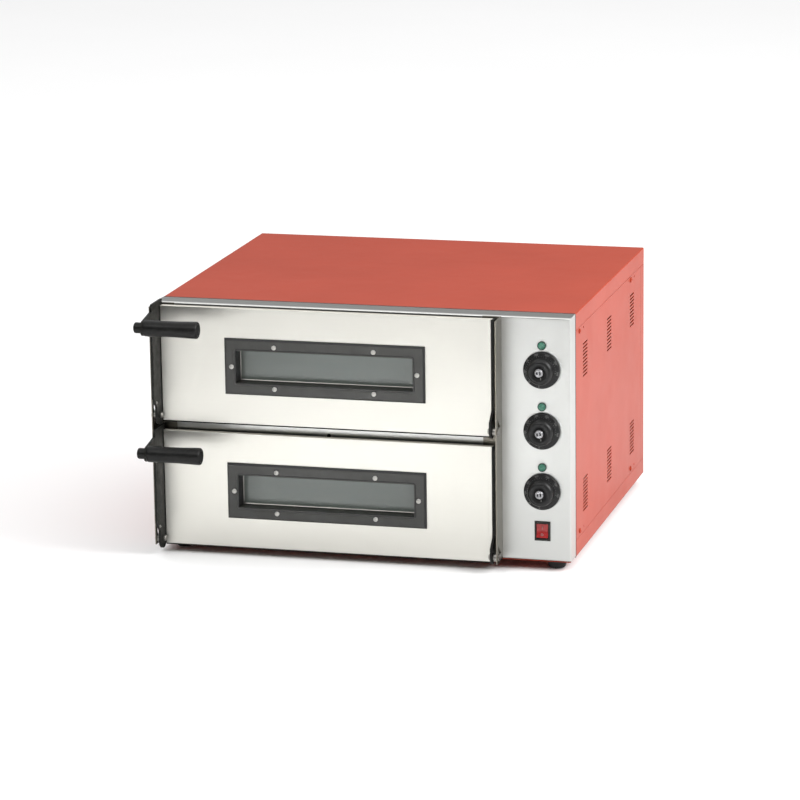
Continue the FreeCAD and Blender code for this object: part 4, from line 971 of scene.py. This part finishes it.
def feet_piece():
    """Four tapered rubber feet with a moulded rim, each with its screw head in the recess."""
    low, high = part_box("feet")
    height = (high.z - low.z) / MM
    top = 13.8
    outside = [(4.4, 0.2), (9.2, 0), (11.0, 1.2), (11.5, 2.2), (top - 0.9, height - 2.6),
               (top, height - 2.2), (top, height), (0, height)]
    recess = [(0, 8.0), (4.4, 8.0), (4.4, 0.2)]
    foot = lathe_mesh("foot", rounded(outside, 0.8, 4) + recess, 72)
    screw = pan_screw("foot_screw", 4.0, 2.4, 2.0)
    parts, screws = [], []
    for x in (low.x + top * MM, high.x - top * MM):
        for y in (low.y + top * MM, high.y - top * MM):
            parts.append((foot, Matrix.Translation((x, y, low.z))))
            screws.append((screw, turned_to((0, 0, -1), (x, y, low.z + 7.9 * MM))))
    piece = as_object("rubber_feet", merged_mesh("rubber_feet", parts), FINISH["foot_rubber"], 35)
    stand_in(piece, "feet")
    heads = as_object("foot_screws", merged_mesh("foot_screws", screws), FINISH["screw_steel"], 28)
    return trim(heads, "feet")


def gland_piece():
    """A cable gland: hexagonal body, ribbed dome nut and a rubber insert round the cable way."""
    low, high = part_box("cable_gland")
    middle = Vector(((low.x + high.x) / 2, low.y, (low.z + high.z) / 2))
    length = (high.y - low.y) / MM
    reach_out = 20.0
    outside = length - reach_out
    thread_profile = [(5.2, 0), (7.7, 0.4), (7.9, 1.0), (7.9, outside), (5.2, outside)]
    thread = lathe_mesh("gland_thread", thread_profile, 64)
    corner = 11.7
    hexagon = [(corner * math.cos(angle), corner * math.sin(angle))
               for angle in map(math.radians, range(0, 360, 60))]
    flange = prism_mesh("gland_hexagon", hexagon, 4.6, 0.5)
    locknut = prism_mesh("gland_locknut", hexagon, 3.6, 0.5)
    dome_profile = [(5.2, 4.6), (10.4, 4.6), (10.5, 5.6), (10.5, 13.0), (9.6, 16.6), (7.6, 19.4),
                    (6.6, 19.8), (5.2, 18.9)]
    dome = lathe_mesh("gland_dome", rounded(dome_profile, 1.4, 5), 96, flutes=24, flute_depth=0.7,
                      fluted=(5.4, 13.4))
    bore = lathe_mesh("gland_bore", [(0, -1), (5.15, -1), (5.15, 12), (0, 12)], 48)
    seat = Matrix.Translation((0, 0, outside * MM))
    solid = [(thread, Matrix()), (carved_mesh("flange", flange, [bore]), seat), (dome, seat),
             (carved_mesh("locknut", locknut, [bore]), Matrix.Translation((0, 0, (outside - 4.8) * MM)))]
    piece = as_object("gland_body", merged_mesh("gland_body", solid), FINISH["gland_plastic"], 30)
    piece.matrix_world = turned_to(-FORWARD, middle)
    stand_in(piece, "cable_gland")
    sleeve_profile = [(5.0, 0.2), (6.2, 0.2), (6.2, 18.4), (5.8, 19.4), (5.0, 19.2), (5.0, 0.2)]
    mesh = lathe_mesh("gland_insert", sleeve_profile, 64)
    sleeve = as_object("gland_insert", mesh, FINISH["silicone"], 35)
    sleeve.matrix_world = turned_to(-FORWARD, middle) @ seat
    return trim(sleeve, "cable_gland")


# ---------------------------------------------------------------- studio

FLOOR_REACH = 30.0
FLOOR_GAP = 0.0002
SKY_STRENGTH = 0.15


def area_light(name, place, aim, size, power, spread=180.0):
    data = bpy.data.lights.new(name, "AREA")
    data.shape = "RECTANGLE"
    data.size, data.size_y = size
    data.energy = power
    data.spread = math.radians(spread)
    lamp = bpy.data.objects.new(name, data)
    bpy.context.scene.collection.objects.link(lamp)
    way = Vector(aim) - Vector(place)
    lamp.matrix_world = Matrix.Translation(place) @ way.to_track_quat("-Z", "Y").to_matrix().to_4x4()
    lamp.visible_camera = False
    return lamp


def studio():
    """A pale floor under a dim white sky, with a wide overhead light, a small key, a narrow light on
    the floor in front and a fill on the right."""
    shape = bmesh.new()
    bmesh.ops.create_grid(shape, x_segments=24, y_segments=24, size=FLOOR_REACH)
    floor = as_object("floor", finished("floor", shape), studio_floor())
    floor.location.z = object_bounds()[0][2] - FLOOR_GAP
    floor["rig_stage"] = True
    world = bpy.data.worlds.new("studio")
    world.use_nodes = True
    world.node_tree.nodes["Background"].inputs["Color"].default_value = (1.0, 1.0, 1.0, 1.0)
    world.node_tree.nodes["Background"].inputs["Strength"].default_value = SKY_STRENGTH
    bpy.context.scene.world = world
    middle = (0, 0, 0.17)
    area_light("overhead", (1.5, 2.0, 4.0), (1.5, 2.0, 0), size=(16.0, 14.0), power=850)
    area_light("key", (-0.62, -2.25, 2.6), middle, size=(0.5, 0.8), power=16)
    area_light("floor_light", (-0.16, -1.15, 1.5), (-0.16, -1.15, 0), size=(0.3, 1.1), power=4.0, spread=26)
    area_light("right_fill", (1.9, -0.3, 1.4), middle, size=(1.2, 1.2), power=47)


# The camera: its angles, its distance from the point it looks at, and its lens in millimetres.
AZIMUTH, ELEVATION, ROLL = math.radians(14.98), math.radians(13.44), math.radians(-0.77)
DISTANCE = 5.301
LENS, SENSOR = 171.2, 36.0
LOOK_AT = Vector((-0.0297, 0.1032, 0.1441))


def camera():
    data = bpy.data.cameras.new("camera")
    data.lens = LENS
    data.sensor_width = SENSOR
    data.clip_end = 100.0
    eye = bpy.data.objects.new("camera", data)
    bpy.context.scene.collection.objects.link(eye)
    back = Vector((math.sin(AZIMUTH) * math.cos(ELEVATION), -math.cos(AZIMUTH) * math.cos(ELEVATION),
                   math.sin(ELEVATION)))
    right = (-back).cross(Vector((0, 0, 1))).normalized()
    up = right.cross(-back)
    across = math.cos(ROLL) * right + math.sin(ROLL) * up
    upright = math.cos(ROLL) * up - math.sin(ROLL) * right
    turn = Matrix((across, upright, back)).transposed().to_4x4()
    eye.matrix_world = Matrix.Translation(LOOK_AT + DISTANCE * back) @ turn
    bpy.context.scene.camera = eye


# ---------------------------------------------------------------- the whole picture

paint_cad_nodes()
for dial in DIALS:
    knob_pieces(dial)
    pilot_piece(dial)
rocker_piece()
for deck_name in DECKS:
    window_screw_pieces(deck_name)
    window_trim_pieces(deck_name)
    arm_rivet_piece(deck_name)
    grip_piece(deck_name)
    grip_bolt_piece(deck_name)
panel_screw_pieces()
rail_screw_piece()
painted_seam_shadow_piece()
feet_piece()
gland_piece()
studio()
camera()
bpy.context.scene.view_settings.view_transform = "Standard"
